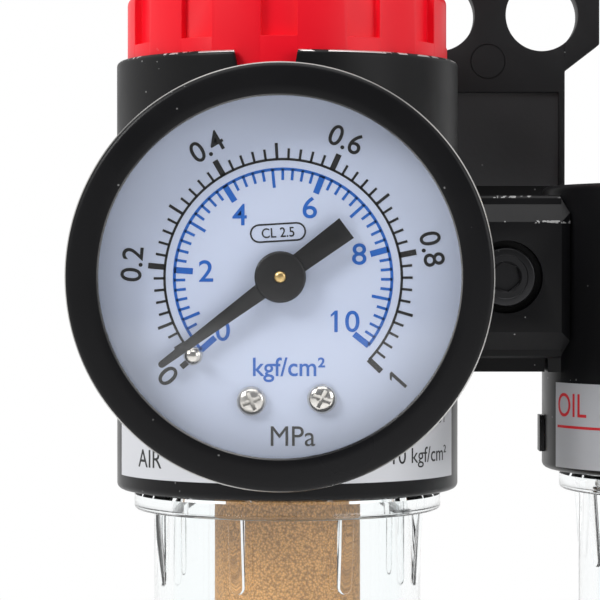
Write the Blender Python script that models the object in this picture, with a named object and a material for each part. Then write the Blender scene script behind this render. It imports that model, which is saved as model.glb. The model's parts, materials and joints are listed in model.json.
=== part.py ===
# Filter regulator lubricator, G1/4: a filter regulator with a pressure gauge on the left and a
# lubricator on the right, clamped to one wall bracket.
# Metres, +Z up. The origin lies on the bracket's flat back, between its two mounting slots.
# The wall is towards +Y, the gauge looks along -Y and the air flows along +X.

import math

import bmesh
import bpy
from mathutils import Matrix, Vector

MM = 0.001

# Fits
GAP = 0.3 * MM
OVERRUN = 1.0 * MM
ROUND = 28
BARREL = 24
MEDIUM = 14
SMALL = 10
SHARP_ANGLE = math.radians(32)

# Both units
BODY_RADIUS = 20.0 * MM
BODY_WALL = 4.0 * MM
BODY_EDGE = 0.7 * MM
BODY_TOP = 10.6 * MM
PORT_FACE_SPACE = 10.0 * MM
PORT_BORE = 5.7 * MM
PORT_DEPTH = 9.5 * MM
PORT_PAD_HALF_DEPTH = 7.6 * MM
PORT_PAD_RISE = 9.4 * MM
PORT_PAD_DROP = 10.9 * MM
BOSS_WALL = 2.9 * MM

# Filter regulator
FILTER_BODY_DROP = 24.7 * MM
FILTER_BORE_TOP = -12.0 * MM
FILTER_BOSS_BOTTOM = -20.0 * MM
VALVE_BORE = 4.6 * MM
VALVE_SEAT = -3.0 * MM
THROAT = 2.8 * MM
CONTROL_CHAMBER = 9.0 * MM
CONTROL_FLOOR = 2.0 * MM
DIAPHRAGM_LEDGE = 7.0 * MM
DIAPHRAGM_CHAMBER = 15.0 * MM
BONNET_THREAD_WALL = 1.8 * MM
PASSAGE = 2.5 * MM
GAUGE_BORE = 4.5 * MM
GAUGE_BORE_DEPTH = 9.0 * MM
GAUGE_PASSAGE = 1.5 * MM

# Bonnet, knob and regulating parts
BONNET_TOP = 25.1 * MM
BONNET_RIM = 1.0 * MM
BONNET_CORE = 15.0 * MM
SPRING_CHAMBER = 12.0 * MM
KNOB_POCKET_FLOOR = 18.0 * MM
BONNET_PLATE = 1.6 * MM
BONNET_PLATE_TOP = 24.8 * MM
RIM_NOTCH_WIDTH = 6.4 * MM
RIM_NOTCH_DEPTH = 2.5 * MM
RIM_NOTCH_TURN = math.radians(-96)
KNOB_TOP = 32.6 * MM
KNOB_SKIRT_BOTTOM = 18.6 * MM
KNOB_WALL = 2.1 * MM
KNOB_CROWN = 2.2 * MM
KNOB_CHAMFER = 0.9 * MM
KNOB_HUB = 6.0 * MM
KNOB_LIFT = 2.5 * MM
GRIP_COUNT = 12
GRIP_WIDTH = 4.1 * MM
GRIP_DEPTH = 1.0 * MM
GRIP_BOTTOM = 26.7 * MM
GRIP_TURN = math.radians(-92)
SCREW_THREAD = 3.0 * MM
SCREW_FLAT = 6.0 * MM
SCREW_FLANGE = 5.5 * MM
SCREW_FLANGE_THICK = 1.5 * MM
SCREW_BOTTOM = 12.0 * MM
SCREW_HEAD_TOP = 29.4 * MM
NUT_RADIUS = 9.5 * MM
NUT_THICK = 3.0 * MM
NUT_LUG_REACH = 12.7 * MM
NUT_LUG_WIDTH = 3.0 * MM
NUT_TRAVEL = 2.0 * MM
SPRING_BOTTOM = 11.0 * MM
SPRING_COIL = 7.6 * MM
SPRING_WIRE = 0.75 * MM
SPRING_TURNS = 2.5
DIAPHRAGM_THICK = 1.0 * MM
DIAPHRAGM_RISE = 1.3 * MM
DIAPHRAGM_INNER = 10.2 * MM
PLATE_RADIUS = 8.8 * MM
PLATE_THICK = 0.8 * MM
PLATE_SPIGOT = 2.4 * MM
RELIEF_HOLE = 0.8 * MM
STEM_RADIUS = 1.4 * MM
POPPET_RADIUS = 4.2 * MM
POPPET_THICK = 2.6 * MM
POPPET_TAIL = 1.5 * MM
POPPET_TAIL_LENGTH = 2.6 * MM
VALVE_SPRING_COIL = 2.4 * MM
VALVE_SPRING_WIRE = 0.3 * MM
VALVE_SPRING_TURNS = 5
GUIDE_POCKET = 3.2 * MM
GUIDE_POCKET_FLOOR = -18.5 * MM
GUIDE_TOP = -13.0 * MM
GUIDE_FLANGE = 8.4 * MM
GUIDE_FLANGE_THICK = 1.2 * MM
STUD_RADIUS = 2.0 * MM
DEFLECTOR_RADIUS = 12.6 * MM
DEFLECTOR_THICK = 1.2 * MM
DEFLECTOR_SLOTS = 8
ELEMENT_RADIUS = 8.55 * MM
ELEMENT_WALL = 3.0 * MM
ELEMENT_LENGTH = 34.7 * MM
BAFFLE_RADIUS = 11.0 * MM
BAFFLE_THICK = 1.7 * MM
BAFFLE_DROP = 2.4 * MM
STUD_NUT_FLAT = 5.5 * MM
STUD_NUT_THICK = 2.2 * MM

# Bowls
BOWL_WALL = 2.2 * MM
BOWL_NECK = 10.2 * MM
BOWL_RIM_REACH = 2.3 * MM
BOWL_RIM_THICK = 2.1 * MM
BOWL_LENGTH = 36.9 * MM
BOWL_ROUNDING = 8.0 * MM
BOWL_RIBS = 8
BOWL_RIB_WIDTH = 1.8 * MM
BOWL_RIB_LENGTH = 8.2 * MM
BOWL_RIB_REACH = 1.0 * MM
BOWL_RIB_TURN = math.radians(-110)
OIL_BOWL_LENGTH = 41.0 * MM
BOWL_SEAL = 0.85 * MM
DRAIN_BOSS = 5.0 * MM
DRAIN_BOSS_LENGTH = 6.5 * MM
DRAIN_BORE = 2.6 * MM
DRAIN_STEM = 2.0 * MM
DRAIN_HEAD = 3.6 * MM
DRAIN_HEAD_THICK = 1.6 * MM
DRAIN_KNOB = 4.2 * MM
DRAIN_KNOB_LENGTH = 6.0 * MM
DRAIN_SPACE = 4.0 * MM
DRAIN_TRAVEL = 2.0 * MM
DRAIN_SPRING_WIRE = 0.3 * MM

# Lubricator
OIL_BODY_DROP = 22.4 * MM
OIL_BORE_TOP = -10.0 * MM
OIL_BOSS_RADIUS = 10.0 * MM
OIL_BOSS_BOTTOM = -18.0 * MM
AIR_THROAT = 4.0 * MM
DOME_SEAT = 7.0 * MM
DOME_BORE = 9.9 * MM
DOME_RADIUS = 8.2 * MM
DOME_WALL = 1.5 * MM
DOME_FLANGE_THICK = 2.0 * MM
DOME_TOP = 24.0 * MM
DOME_TOP_THICK = 2.4 * MM
DOME_RING = 11.0 * MM
DOME_RING_THICK = 2.4 * MM
DRIP_SCREW = 2.6 * MM
DRIP_KNOB = 5.6 * MM
DRIP_KNOB_LENGTH = 5.0 * MM
NOZZLE_RADIUS = 1.6 * MM
NOZZLE_LENGTH = 4.0 * MM
DRIP_PASSAGE = 1.2 * MM
SIPHON_OFFSET = 6.5 * MM
SIPHON_RADIUS = 1.9 * MM
SIPHON_BORE = 1.1 * MM
SIPHON_TOP = -12.5 * MM
SIPHON_FILTER = 3.4 * MM
SIPHON_FILTER_LENGTH = 6.0 * MM
SIPHON_LIFT = 2.7 * MM
FILL_OFFSET = 15.0 * MM
FILL_BORE = 2.5 * MM
FILL_HEAD = 3.4 * MM
FILL_HEAD_THICK = 2.6 * MM
VENTURI_LENGTH = 8.0 * MM
VENTURI_WALL = 0.7 * MM
VENTURI_THROAT = 2.0 * MM

# Joint, clamp and bracket
SPACER_HALF_DEPTH = 6.6 * MM
SPACER_BORE = 3.6 * MM
JOINT_SEAL_RING = 5.8 * MM
JOINT_SEAL = 0.75 * MM
CLAMP_HALF = 9.3 * MM
CLAMP_BEVEL = 3.05 * MM
CLAMP_REACH = 11.0 * MM
CLAMP_HEAD_BORE = 4.15 * MM
CLAMP_FLOOR = 1.2 * MM
CLAMP_SCREW_HEAD = 3.375 * MM
CLAMP_SCREW_HEAD_THICK = 2.2 * MM
CLAMP_SCREW_SHANK = 1.8 * MM
CLAMP_SCREW_HOLE = 2.1 * MM
CLAMP_SCREW_HEX = 3.0 * MM
CLAMP_SCREW_HEX_DEPTH = 1.3 * MM
BRACKET_STANDOFF = 2.5 * MM
BRACKET_PLATE = 4.0 * MM
BRACKET_RISE = 44.0 * MM
BRACKET_NECK_TOP = 25.7 * MM
BRACKET_HEAD_FROM = 29.0 * MM
BRACKET_HEAD_HALF = 13.6 * MM
BRACKET_TOP_MARGIN = 7.0 * MM
BRACKET_CORNER = 3.0 * MM
BRACKET_HOLE = 4.5 * MM
BRACKET_HOLE_X = 6.44 * MM
BRACKET_HOLE_RISE = 32.7 * MM
BRACKET_SLOT_HALF = 2.75 * MM
BRACKET_SLOT_TRAVEL = 1.5 * MM
BRACKET_PANEL_LOW = 11.4 * MM
BRACKET_PANEL_HIGH = 23.1 * MM
BRACKET_PANEL_DEPTH = 0.5 * MM
BRACKET_PANEL_EDGE = 0.75 * MM
BRACKET_SCREW_SEAT = 11.7 * MM

# Pressure gauge; depths are measured back from its front face
GAUGE_REACH = 47.0 * MM
GAUGE_TURN = math.radians(3.4)
BEZEL_RADIUS = 21.5 * MM
BEZEL_OPENING = 18.1 * MM
BEZEL_SKIN = 0.8 * MM
BEZEL_DEPTH = 8.8 * MM
BEZEL_ROLL = 0.4 * MM
BEZEL_ROLL_LENGTH = 1.0 * MM
LENS_DEPTH = 0.9 * MM
LENS_THICK = 1.4 * MM
CASE_WALL = 0.8 * MM
CASE_BACK = 20.0 * MM
CASE_CORNER = 2.0 * MM
DIAL_DEPTH = 4.5 * MM
DIAL_THICK = 0.6 * MM
DIAL_SCREW_HEAD = 1.5 * MM
DIAL_SCREW_PROUD = 1.0 * MM
DIAL_SCREW_SHANK = 0.7 * MM
DIAL_SCREWS = {"dial_screw_left": (-2.93 * MM, -12.55 * MM), "dial_screw_right": (4.2 * MM, -12.3 * MM)}
STOP_PIN_RADIUS = 0.62 * MM
STOP_PIN_FLANGE = 0.95 * MM
STOP_PIN_RING = 11.9 * MM
STOP_PIN_ANGLE = math.radians(222)
POINTER_ANGLE = math.radians(216.4)
POINTER_SWEEP = math.radians(263)
POINTER_TIP = 15.2 * MM
POINTER_TAIL = 8.3 * MM
POINTER_HUB = 2.6 * MM
POINTER_DEPTH = 3.0 * MM
POINTER_THICK = 0.4 * MM
PINION_SHAFT = 0.6 * MM
GEAR_MODULE = 0.3 * MM
PINION_TEETH = 12
SECTOR_TEETH = 60
SECTOR_SPAN = math.radians(66)
SECTOR_ANGLE = math.radians(135)
SECTOR_TAIL = 3.4 * MM
GEAR_FRONT = 7.9 * MM
GEAR_THICK = 1.3 * MM
MOVEMENT_FRONT = 6.3 * MM
MOVEMENT_SHEET = 0.8 * MM
MOVEMENT_SPACE = 3.0 * MM
MOVEMENT_HALF = 2.0 * MM
TUBE_RING = 14.8 * MM
TUBE_HALF_DEPTH = 1.5 * MM
TUBE_HALF_WIDTH = 1.2 * MM
TUBE_MIDDLE = 13.5 * MM
TUBE_START = math.radians(-60)
TUBE_END = math.radians(155)
LINK_HALF = 1.0 * MM
LINK_FRONT = 9.8 * MM
LINK_THICK = 1.5 * MM
SOCKET_STEM = 4.8 * MM
SOCKET_FLAT = 12.0 * MM
SOCKET_THREAD = 4.2 * MM
SOCKET_THREAD_LENGTH = 8.0 * MM
SOCKET_BORE = 1.2 * MM

# Worked out from the sizes above
PITCH = 2 * BODY_RADIUS + PORT_FACE_SPACE
AXIS_Y = -(BODY_RADIUS + BRACKET_STANDOFF)
PORT_Z = -BRACKET_RISE
BOWL_BORE = BODY_RADIUS - BODY_WALL
BOWL_RADIUS = BOWL_BORE - GAP
KNOB_RADIUS = BODY_RADIUS - BONNET_RIM - GAP
BONNET_THREAD = BODY_RADIUS - BONNET_THREAD_WALL
FILTER_BOSS_RADIUS = VALVE_BORE + BOSS_WALL
SADDLE = BODY_RADIUS + GAP
SADDLE_HALF = PITCH / 2 - SADDLE
PASSAGE_X = BODY_RADIUS - PORT_DEPTH + PASSAGE
GEAR_CENTRES = GEAR_MODULE * (PINION_TEETH + SECTOR_TEETH) / 2
SECTOR_PIVOT = Vector((math.cos(SECTOR_ANGLE), math.sin(SECTOR_ANGLE), 0)) * GEAR_CENTRES

ALONG_X = Matrix.Rotation(math.radians(90), 4, "Y")
ALONG_Y = Matrix.Rotation(math.radians(-90), 4, "X")
UPRIGHT = Matrix.Rotation(math.radians(90), 4, "X")


def clear_scene():
    for piece in list(bpy.data.objects):
        bpy.data.objects.remove(piece)


def finish(name, colour, roughness, metallic=0.0, transmission=0.0):
    material = bpy.data.materials.new(name)
    material.use_nodes = True
    shader = material.node_tree.nodes["Principled BSDF"]
    shader.inputs["Base Color"].default_value = (*colour, 1.0)
    shader.inputs["Roughness"].default_value = roughness
    shader.inputs["Metallic"].default_value = metallic
    shader.inputs["Transmission Weight"].default_value = transmission
    return material


def solid(name, mesh, material=None, parent=None, spot=(0, 0, 0)):
    bmesh.ops.remove_doubles(mesh, verts=mesh.verts, dist=0.002 * MM)
    bmesh.ops.recalc_face_normals(mesh, faces=mesh.faces)
    data = bpy.data.meshes.new(name)
    mesh.to_mesh(data)
    mesh.free()
    data.shade_smooth()
    data.set_sharp_from_angle(angle=SHARP_ANGLE)
    if material:
        data.materials.append(material)
    piece = bpy.data.objects.new(name, data)
    bpy.context.scene.collection.objects.link(piece)
    piece.parent = parent
    piece.location = spot
    return piece


def spindle(mesh, outline, segments, turn):
    """Adds the closed outline of (radius, height) points, turned about Z, then turned as a whole."""
    rings = []
    for radius, height in outline:
        count = segments if radius > 0 else 1
        ring = []
        for step in range(count):
            angle = 2 * math.pi * (step + 0.5) / count
            place = Vector((radius * math.cos(angle), radius * math.sin(angle), height))
            ring.append(mesh.verts.new(turn @ place))
        rings.append(ring)
    for first, second in zip(rings, rings[1:] + rings[:1]):
        join_rings(mesh, first, second)


def join_rings(mesh, first, second):
    if len(first) == len(second) == 1:
        return
    count = max(len(first), len(second))
    for step in range(count):
        after = (step + 1) % count
        corners = [first[step % len(first)], first[after % len(first)]]
        corners += [second[after % len(second)], second[step % len(second)]]
        mesh.faces.new(list(dict.fromkeys(corners)))


def turned(name, outline, material=None, parent=None, segments=ROUND, turn=None, spot=(0, 0, 0)):
    mesh = bmesh.new()
    spindle(mesh, outline, segments, turn or Matrix.Identity(4))
    return solid(name, mesh, material, parent, spot)


def drum_outline(radius, low, high):
    return [(0, low), (radius, low), (radius, high), (0, high)]


def tube_outline(inner, outer, low, high):
    return [(inner, low), (outer, low), (outer, high), (inner, high)]


def ring_outline(ring, section, height, points=5):
    outline = []
    for step in range(points):
        angle = 2 * math.pi * step / points
        outline.append((ring + section * math.cos(angle), height + section * math.sin(angle)))
    return outline


def block(mesh, low, high):
    corners = []
    for x in (low[0], high[0]):
        for y in (low[1], high[1]):
            for z in (low[2], high[2]):
                corners.append(mesh.verts.new((x, y, z)))
    for face in ((0, 1, 3, 2), (4, 6, 7, 5), (0, 4, 5, 1), (2, 3, 7, 6), (0, 2, 6, 4), (1, 5, 7, 3)):
        mesh.faces.new([corners[index] for index in face])


def slab(name, low, high, material=None, parent=None):
    mesh = bmesh.new()
    block(mesh, low, high)
    return solid(name, mesh, material, parent)


def prism(mesh, outline, low, high, turn):
    bottom = [mesh.verts.new(turn @ Vector((x, y, low))) for x, y in outline]
    top = [mesh.verts.new(turn @ Vector((x, y, high))) for x, y in outline]
    mesh.faces.new(bottom)
    mesh.faces.new(top)
    join_rings(mesh, bottom, top)


def sheet(name, outline, low, high, material=None, parent=None, turn=None, spot=(0, 0, 0)):
    mesh = bmesh.new()
    prism(mesh, outline, low, high, turn or Matrix.Identity(4))
    return solid(name, mesh, material, parent, spot)


def hexagon(flat):
    corner = flat / math.sqrt(3)
    return [(corner * math.cos(math.radians(60 * step)), corner * math.sin(math.radians(60 * step))) for step in range(6)]


def wound(name, ring, half_width, half_height, start, sweep, low, high, material, parent, sides, steps):
    """A bar of oval section wound about Z from the start angle, rising from low to high."""
    mesh = bmesh.new()
    sections = []
    for step in range(steps + 1):
        share = step / steps
        angle = start + sweep * share
        outward = Vector((math.cos(angle), math.sin(angle), 0))
        middle = outward * ring + Vector((0, 0, low + (high - low) * share))
        section = []
        for side in range(sides):
            lean = 2 * math.pi * side / sides
            place = middle + outward * half_width * math.cos(lean)
            place.z += half_height * math.sin(lean)
            section.append(mesh.verts.new(place))
        sections.append(section)
    for first, second in zip(sections, sections[1:]):
        join_rings(mesh, first, second)
    mesh.faces.new(sections[0])
    mesh.faces.new(sections[-1])
    return solid(name, mesh, material, parent)


def spring(name, coil, wire, turns, low, high, material, parent, sides=5, per_turn=10):
    steps = round(turns * per_turn)
    sweep = 2 * math.pi * turns
    return wound(name, coil, wire, wire, 0, sweep, low + wire, high - wire, material, parent, sides, steps)


def combine(piece, helper, operation):
    helper.hide_render = True
    helper.display_type = "WIRE"
    modifier = piece.modifiers.new(helper.name, "BOOLEAN")
    modifier.operation = operation
    modifier.object = helper


def cut(piece, helper):
    combine(piece, helper, "DIFFERENCE")


def join(piece, helper):
    combine(piece, helper, "UNION")


def bore(piece, name, radius, low, high, turn=None, spot=(0, 0, 0), segments=12):
    outline = drum_outline(radius, low, high)
    cut(piece, turned(name, outline, None, piece.parent, segments, turn, spot))


def axis_at(name, spot, turn=None):
    marker = bpy.data.objects.new(name, None)
    marker.empty_display_size = 5 * MM
    marker.matrix_world = Matrix.Translation(spot) @ (turn or Matrix.Identity(4))
    bpy.context.scene.collection.objects.link(marker)
    return marker


def make_body(name, axis, drop, bore_top, boss_radius, boss_bottom, material):
    """Cast body: a drum open below for the bowl, with a boss inside and a port pad on each side."""
    low = BODY_RADIUS - BODY_EDGE
    outline = [(0, boss_bottom), (boss_radius, boss_bottom), (boss_radius, bore_top), (BOWL_BORE, bore_top)]
    outline += [(BOWL_BORE, -drop), (low, -drop), (BODY_RADIUS, BODY_EDGE - drop)]
    outline += [(BODY_RADIUS, BODY_TOP), (0, BODY_TOP)]
    body = turned(name, outline, material, axis)
    inside = BOWL_BORE + 2 * GAP
    for side, end in (("left", -1), ("right", 1)):
        near, far = sorted((end * inside, end * BODY_RADIUS))
        pad_low = (near, -PORT_PAD_HALF_DEPTH, -PORT_PAD_DROP)
        pad_high = (far, PORT_PAD_HALF_DEPTH, PORT_PAD_RISE)
        join(body, slab(f"{name}_{side}_pad", pad_low, pad_high, None, axis))
        near, far = sorted((end * (BODY_RADIUS - PORT_DEPTH), end * (BODY_RADIUS + OVERRUN)))
        bore(body, f"{name}_{side}_port", PORT_BORE, near, far, ALONG_X)
    return body


def make_regulator_body(axis, material):
    name = "regulator_body"
    body = make_body(name, axis, FILTER_BODY_DROP, FILTER_BORE_TOP, FILTER_BOSS_RADIUS, FILTER_BOSS_BOTTOM, material)
    chamber = [(0, CONTROL_FLOOR), (CONTROL_CHAMBER, CONTROL_FLOOR), (CONTROL_CHAMBER, DIAPHRAGM_LEDGE - 2 * GAP)]
    chamber += [(DIAPHRAGM_CHAMBER, DIAPHRAGM_LEDGE - 2 * GAP), (DIAPHRAGM_CHAMBER, DIAPHRAGM_LEDGE)]
    chamber += [(BONNET_THREAD, DIAPHRAGM_LEDGE), (BONNET_THREAD, BODY_TOP + OVERRUN), (0, BODY_TOP + OVERRUN)]
    cut(body, turned("control_chamber", chamber, None, axis))
    valve = [(0, FILTER_BOSS_BOTTOM - OVERRUN), (VALVE_BORE, FILTER_BOSS_BOTTOM - OVERRUN), (VALVE_BORE, VALVE_SEAT)]
    valve += [(THROAT, VALVE_SEAT), (THROAT, CONTROL_FLOOR + OVERRUN), (0, CONTROL_FLOOR + OVERRUN)]
    cut(body, turned("valve_chamber", valve, None, axis, MEDIUM))
    bore(body, "inlet_drop", PASSAGE, FILTER_BORE_TOP - OVERRUN, 0, None, (-PASSAGE_X, 0, 0))
    bore(body, "outlet_rise", PASSAGE, 0, DIAPHRAGM_LEDGE, None, (PASSAGE_X, 0, 0))
    inner = BODY_RADIUS - GAUGE_BORE_DEPTH
    for side, end in (("front", -1), ("rear", 1)):
        near, far = sorted((end * inner, end * (BODY_RADIUS + OVERRUN)))
        bore(body, f"{side}_gauge_port", GAUGE_BORE, near, far, ALONG_Y)
        spot = (0, end * (inner + GAUGE_PASSAGE), 0)
        bore(body, f"{side}_gauge_rise", GAUGE_PASSAGE, 0, DIAPHRAGM_LEDGE, None, spot, SMALL)
    return body


def make_gauge_port_plug(axis, material):
    reach = BODY_RADIUS + GAP
    thread = GAUGE_BORE - GAP
    outline = [(0, reach - GAUGE_BORE_DEPTH + PASSAGE), (thread, reach - GAUGE_BORE_DEPTH + PASSAGE)]
    outline += [(thread, reach), (GAUGE_BORE + MM, reach), (GAUGE_BORE + MM, reach + MM), (0, reach + MM)]
    plug = turned("gauge_port_plug", outline, material, axis, MEDIUM, ALONG_Y)
    hexagonal = sheet("plug_hex", hexagon(4 * MM), -reach - 2 * MM, -reach + 2 * MM, None, axis, UPRIGHT)
    cut(plug, hexagonal)
    return plug


def make_bonnet(axis, material):
    base = BODY_TOP + GAP
    foot = DIAPHRAGM_LEDGE + DIAPHRAGM_THICK + 2 * GAP
    rim = BODY_RADIUS - BONNET_RIM
    plate_low = BONNET_PLATE_TOP - BONNET_PLATE
    hole = SCREW_FLAT / math.sqrt(3) + GAP
    outline = [(SPRING_CHAMBER, foot), (BONNET_THREAD - GAP, foot), (BONNET_THREAD - GAP, base)]
    outline += [(BODY_RADIUS, base), (BODY_RADIUS, BONNET_TOP - BONNET_RIM * 0.8)]
    outline += [(BODY_RADIUS - BONNET_RIM * 0.25, BONNET_TOP - BONNET_RIM * 0.25)]
    outline += [(BODY_RADIUS - BONNET_RIM * 0.7, BONNET_TOP), (rim, BONNET_TOP), (rim, KNOB_POCKET_FLOOR)]
    outline += [(BONNET_CORE, KNOB_POCKET_FLOOR), (BONNET_CORE, BONNET_PLATE_TOP), (hole, BONNET_PLATE_TOP)]
    outline += [(hole, plate_low), (SPRING_CHAMBER, plate_low)]
    bonnet = turned("bonnet", outline, material, axis)
    notch = slab(
        "rim_notch",
        (rim - OVERRUN, -RIM_NOTCH_WIDTH / 2, BONNET_TOP - RIM_NOTCH_DEPTH),
        (BODY_RADIUS + OVERRUN, RIM_NOTCH_WIDTH / 2, BONNET_TOP + OVERRUN),
        None,
        axis,
    )
    notch.rotation_euler.z = RIM_NOTCH_TURN
    cut(bonnet, notch)
    reach = NUT_LUG_REACH + GAP
    half = NUT_LUG_WIDTH / 2 + GAP
    cut(bonnet, slab("nut_keyways", (-reach, -half, SCREW_BOTTOM), (reach, half, plate_low), None, axis))
    return bonnet


def make_adjusting_knob(axis, material):
    bore_wall = KNOB_RADIUS - KNOB_WALL
    inner_top = KNOB_TOP - KNOB_CROWN
    hub_low = BONNET_PLATE_TOP + GAP
    outline = [(0, KNOB_TOP), (KNOB_RADIUS - KNOB_CHAMFER, KNOB_TOP), (KNOB_RADIUS, KNOB_TOP - KNOB_CHAMFER)]
    outline += [(KNOB_RADIUS, KNOB_SKIRT_BOTTOM), (bore_wall, KNOB_SKIRT_BOTTOM), (bore_wall, inner_top)]
    outline += [(KNOB_HUB, inner_top), (KNOB_HUB, hub_low), (0, hub_low)]
    knob = turned("adjusting_knob", outline, material, axis)
    grips = bmesh.new()
    for grip in range(GRIP_COUNT):
        one = bmesh.new()
        block(
            one,
            (KNOB_RADIUS - GRIP_DEPTH, -GRIP_WIDTH / 2, GRIP_BOTTOM),
            (KNOB_RADIUS + OVERRUN, GRIP_WIDTH / 2, KNOB_TOP + OVERRUN),
        )
        angle = GRIP_TURN + 2 * math.pi * grip / GRIP_COUNT
        bmesh.ops.rotate(one, verts=one.verts, matrix=Matrix.Rotation(angle, 3, "Z"))
        copy = bpy.data.meshes.new("grip")
        one.to_mesh(copy)
        one.free()
        grips.from_mesh(copy)
    cut(knob, solid("grip_recesses", grips, None, axis))
    socket = hexagon(SCREW_FLAT + 2 * GAP)
    cut(knob, sheet("screw_socket", socket, hub_low - OVERRUN, SCREW_HEAD_TOP + GAP, None, axis))
    return knob


def make_adjusting_screw(axis, material):
    flange_top = BONNET_PLATE_TOP - BONNET_PLATE - GAP
    flange_low = flange_top - SCREW_FLANGE_THICK
    outline = [(0, SCREW_BOTTOM), (SCREW_THREAD, SCREW_BOTTOM), (SCREW_THREAD, flange_low)]
    outline += [(SCREW_FLANGE, flange_low), (SCREW_FLANGE, flange_top), (0, flange_top)]
    screw = turned("adjusting_screw", outline, material, axis, MEDIUM)
    head = sheet("screw_head", hexagon(SCREW_FLAT), flange_low + GAP, SCREW_HEAD_TOP, None, axis)
    join(screw, head)
    return screw


def nut_top():
    return BONNET_PLATE_TOP - BONNET_PLATE - SCREW_FLANGE_THICK - 2 * GAP


def make_spring_seat_nut(axis, material):
    top = nut_top()
    nut = turned("spring_seat_nut", drum_outline(NUT_RADIUS, top - NUT_THICK, top), material, axis, MEDIUM)
    half = NUT_LUG_WIDTH / 2
    low = top - NUT_THICK
    join(nut, slab("nut_lugs", (-NUT_LUG_REACH, -half, low), (NUT_LUG_REACH, half, top), None, axis))
    bore(nut, "nut_thread", SCREW_THREAD + GAP, low - OVERRUN, top + OVERRUN)
    return nut


def make_regulating_parts(axis, steel, rubber, brass):
    spring_top = nut_top() - NUT_THICK - GAP
    spring("regulating_spring", SPRING_COIL, SPRING_WIRE, SPRING_TURNS, SPRING_BOTTOM, spring_top, steel, axis)
    low = DIAPHRAGM_LEDGE + GAP
    lift = low + DIAPHRAGM_RISE
    rim = BONNET_THREAD - GAP
    bend = DIAPHRAGM_RISE * 0.92
    hole = PLATE_SPIGOT + GAP
    outline = [(hole, lift), (DIAPHRAGM_INNER, lift), (DIAPHRAGM_INNER + bend, low), (rim, low)]
    outline += [(rim, low + DIAPHRAGM_THICK), (DIAPHRAGM_INNER + bend + 0.4 * MM, low + DIAPHRAGM_THICK)]
    outline += [(DIAPHRAGM_INNER + 0.3 * MM, lift + DIAPHRAGM_THICK), (hole, lift + DIAPHRAGM_THICK)]
    turned("diaphragm", outline, rubber, axis)
    seat = lift + DIAPHRAGM_THICK + GAP
    spigot = DIAPHRAGM_LEDGE - GAP
    outline = [(RELIEF_HOLE, spigot), (PLATE_SPIGOT, spigot), (PLATE_SPIGOT, seat), (PLATE_RADIUS, seat)]
    outline += [(PLATE_RADIUS, seat + PLATE_THICK), (RELIEF_HOLE, seat + PLATE_THICK)]
    turned("diaphragm_plate", outline, brass, axis, MEDIUM)
    top = VALVE_SEAT - GAP
    outline = [(0, spigot - GAP), (STEM_RADIUS, spigot - GAP), (STEM_RADIUS, top), (POPPET_RADIUS, top)]
    outline += [(POPPET_RADIUS, top - POPPET_THICK), (POPPET_TAIL, top - POPPET_THICK)]
    outline += [(POPPET_TAIL, top - POPPET_THICK - POPPET_TAIL_LENGTH)]
    outline += [(0, top - POPPET_THICK - POPPET_TAIL_LENGTH)]
    turned("valve_poppet", outline, brass, axis, MEDIUM)
    low = GUIDE_POCKET_FLOOR + GAP
    high = top - POPPET_THICK - GAP
    turns = VALVE_SPRING_TURNS
    spring("valve_spring", VALVE_SPRING_COIL, VALVE_SPRING_WIRE, turns, low, high, steel, axis, 4, 8)


def element_top():
    return FILTER_BOSS_BOTTOM - DEFLECTOR_THICK - GUIDE_FLANGE_THICK - 3 * GAP


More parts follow.
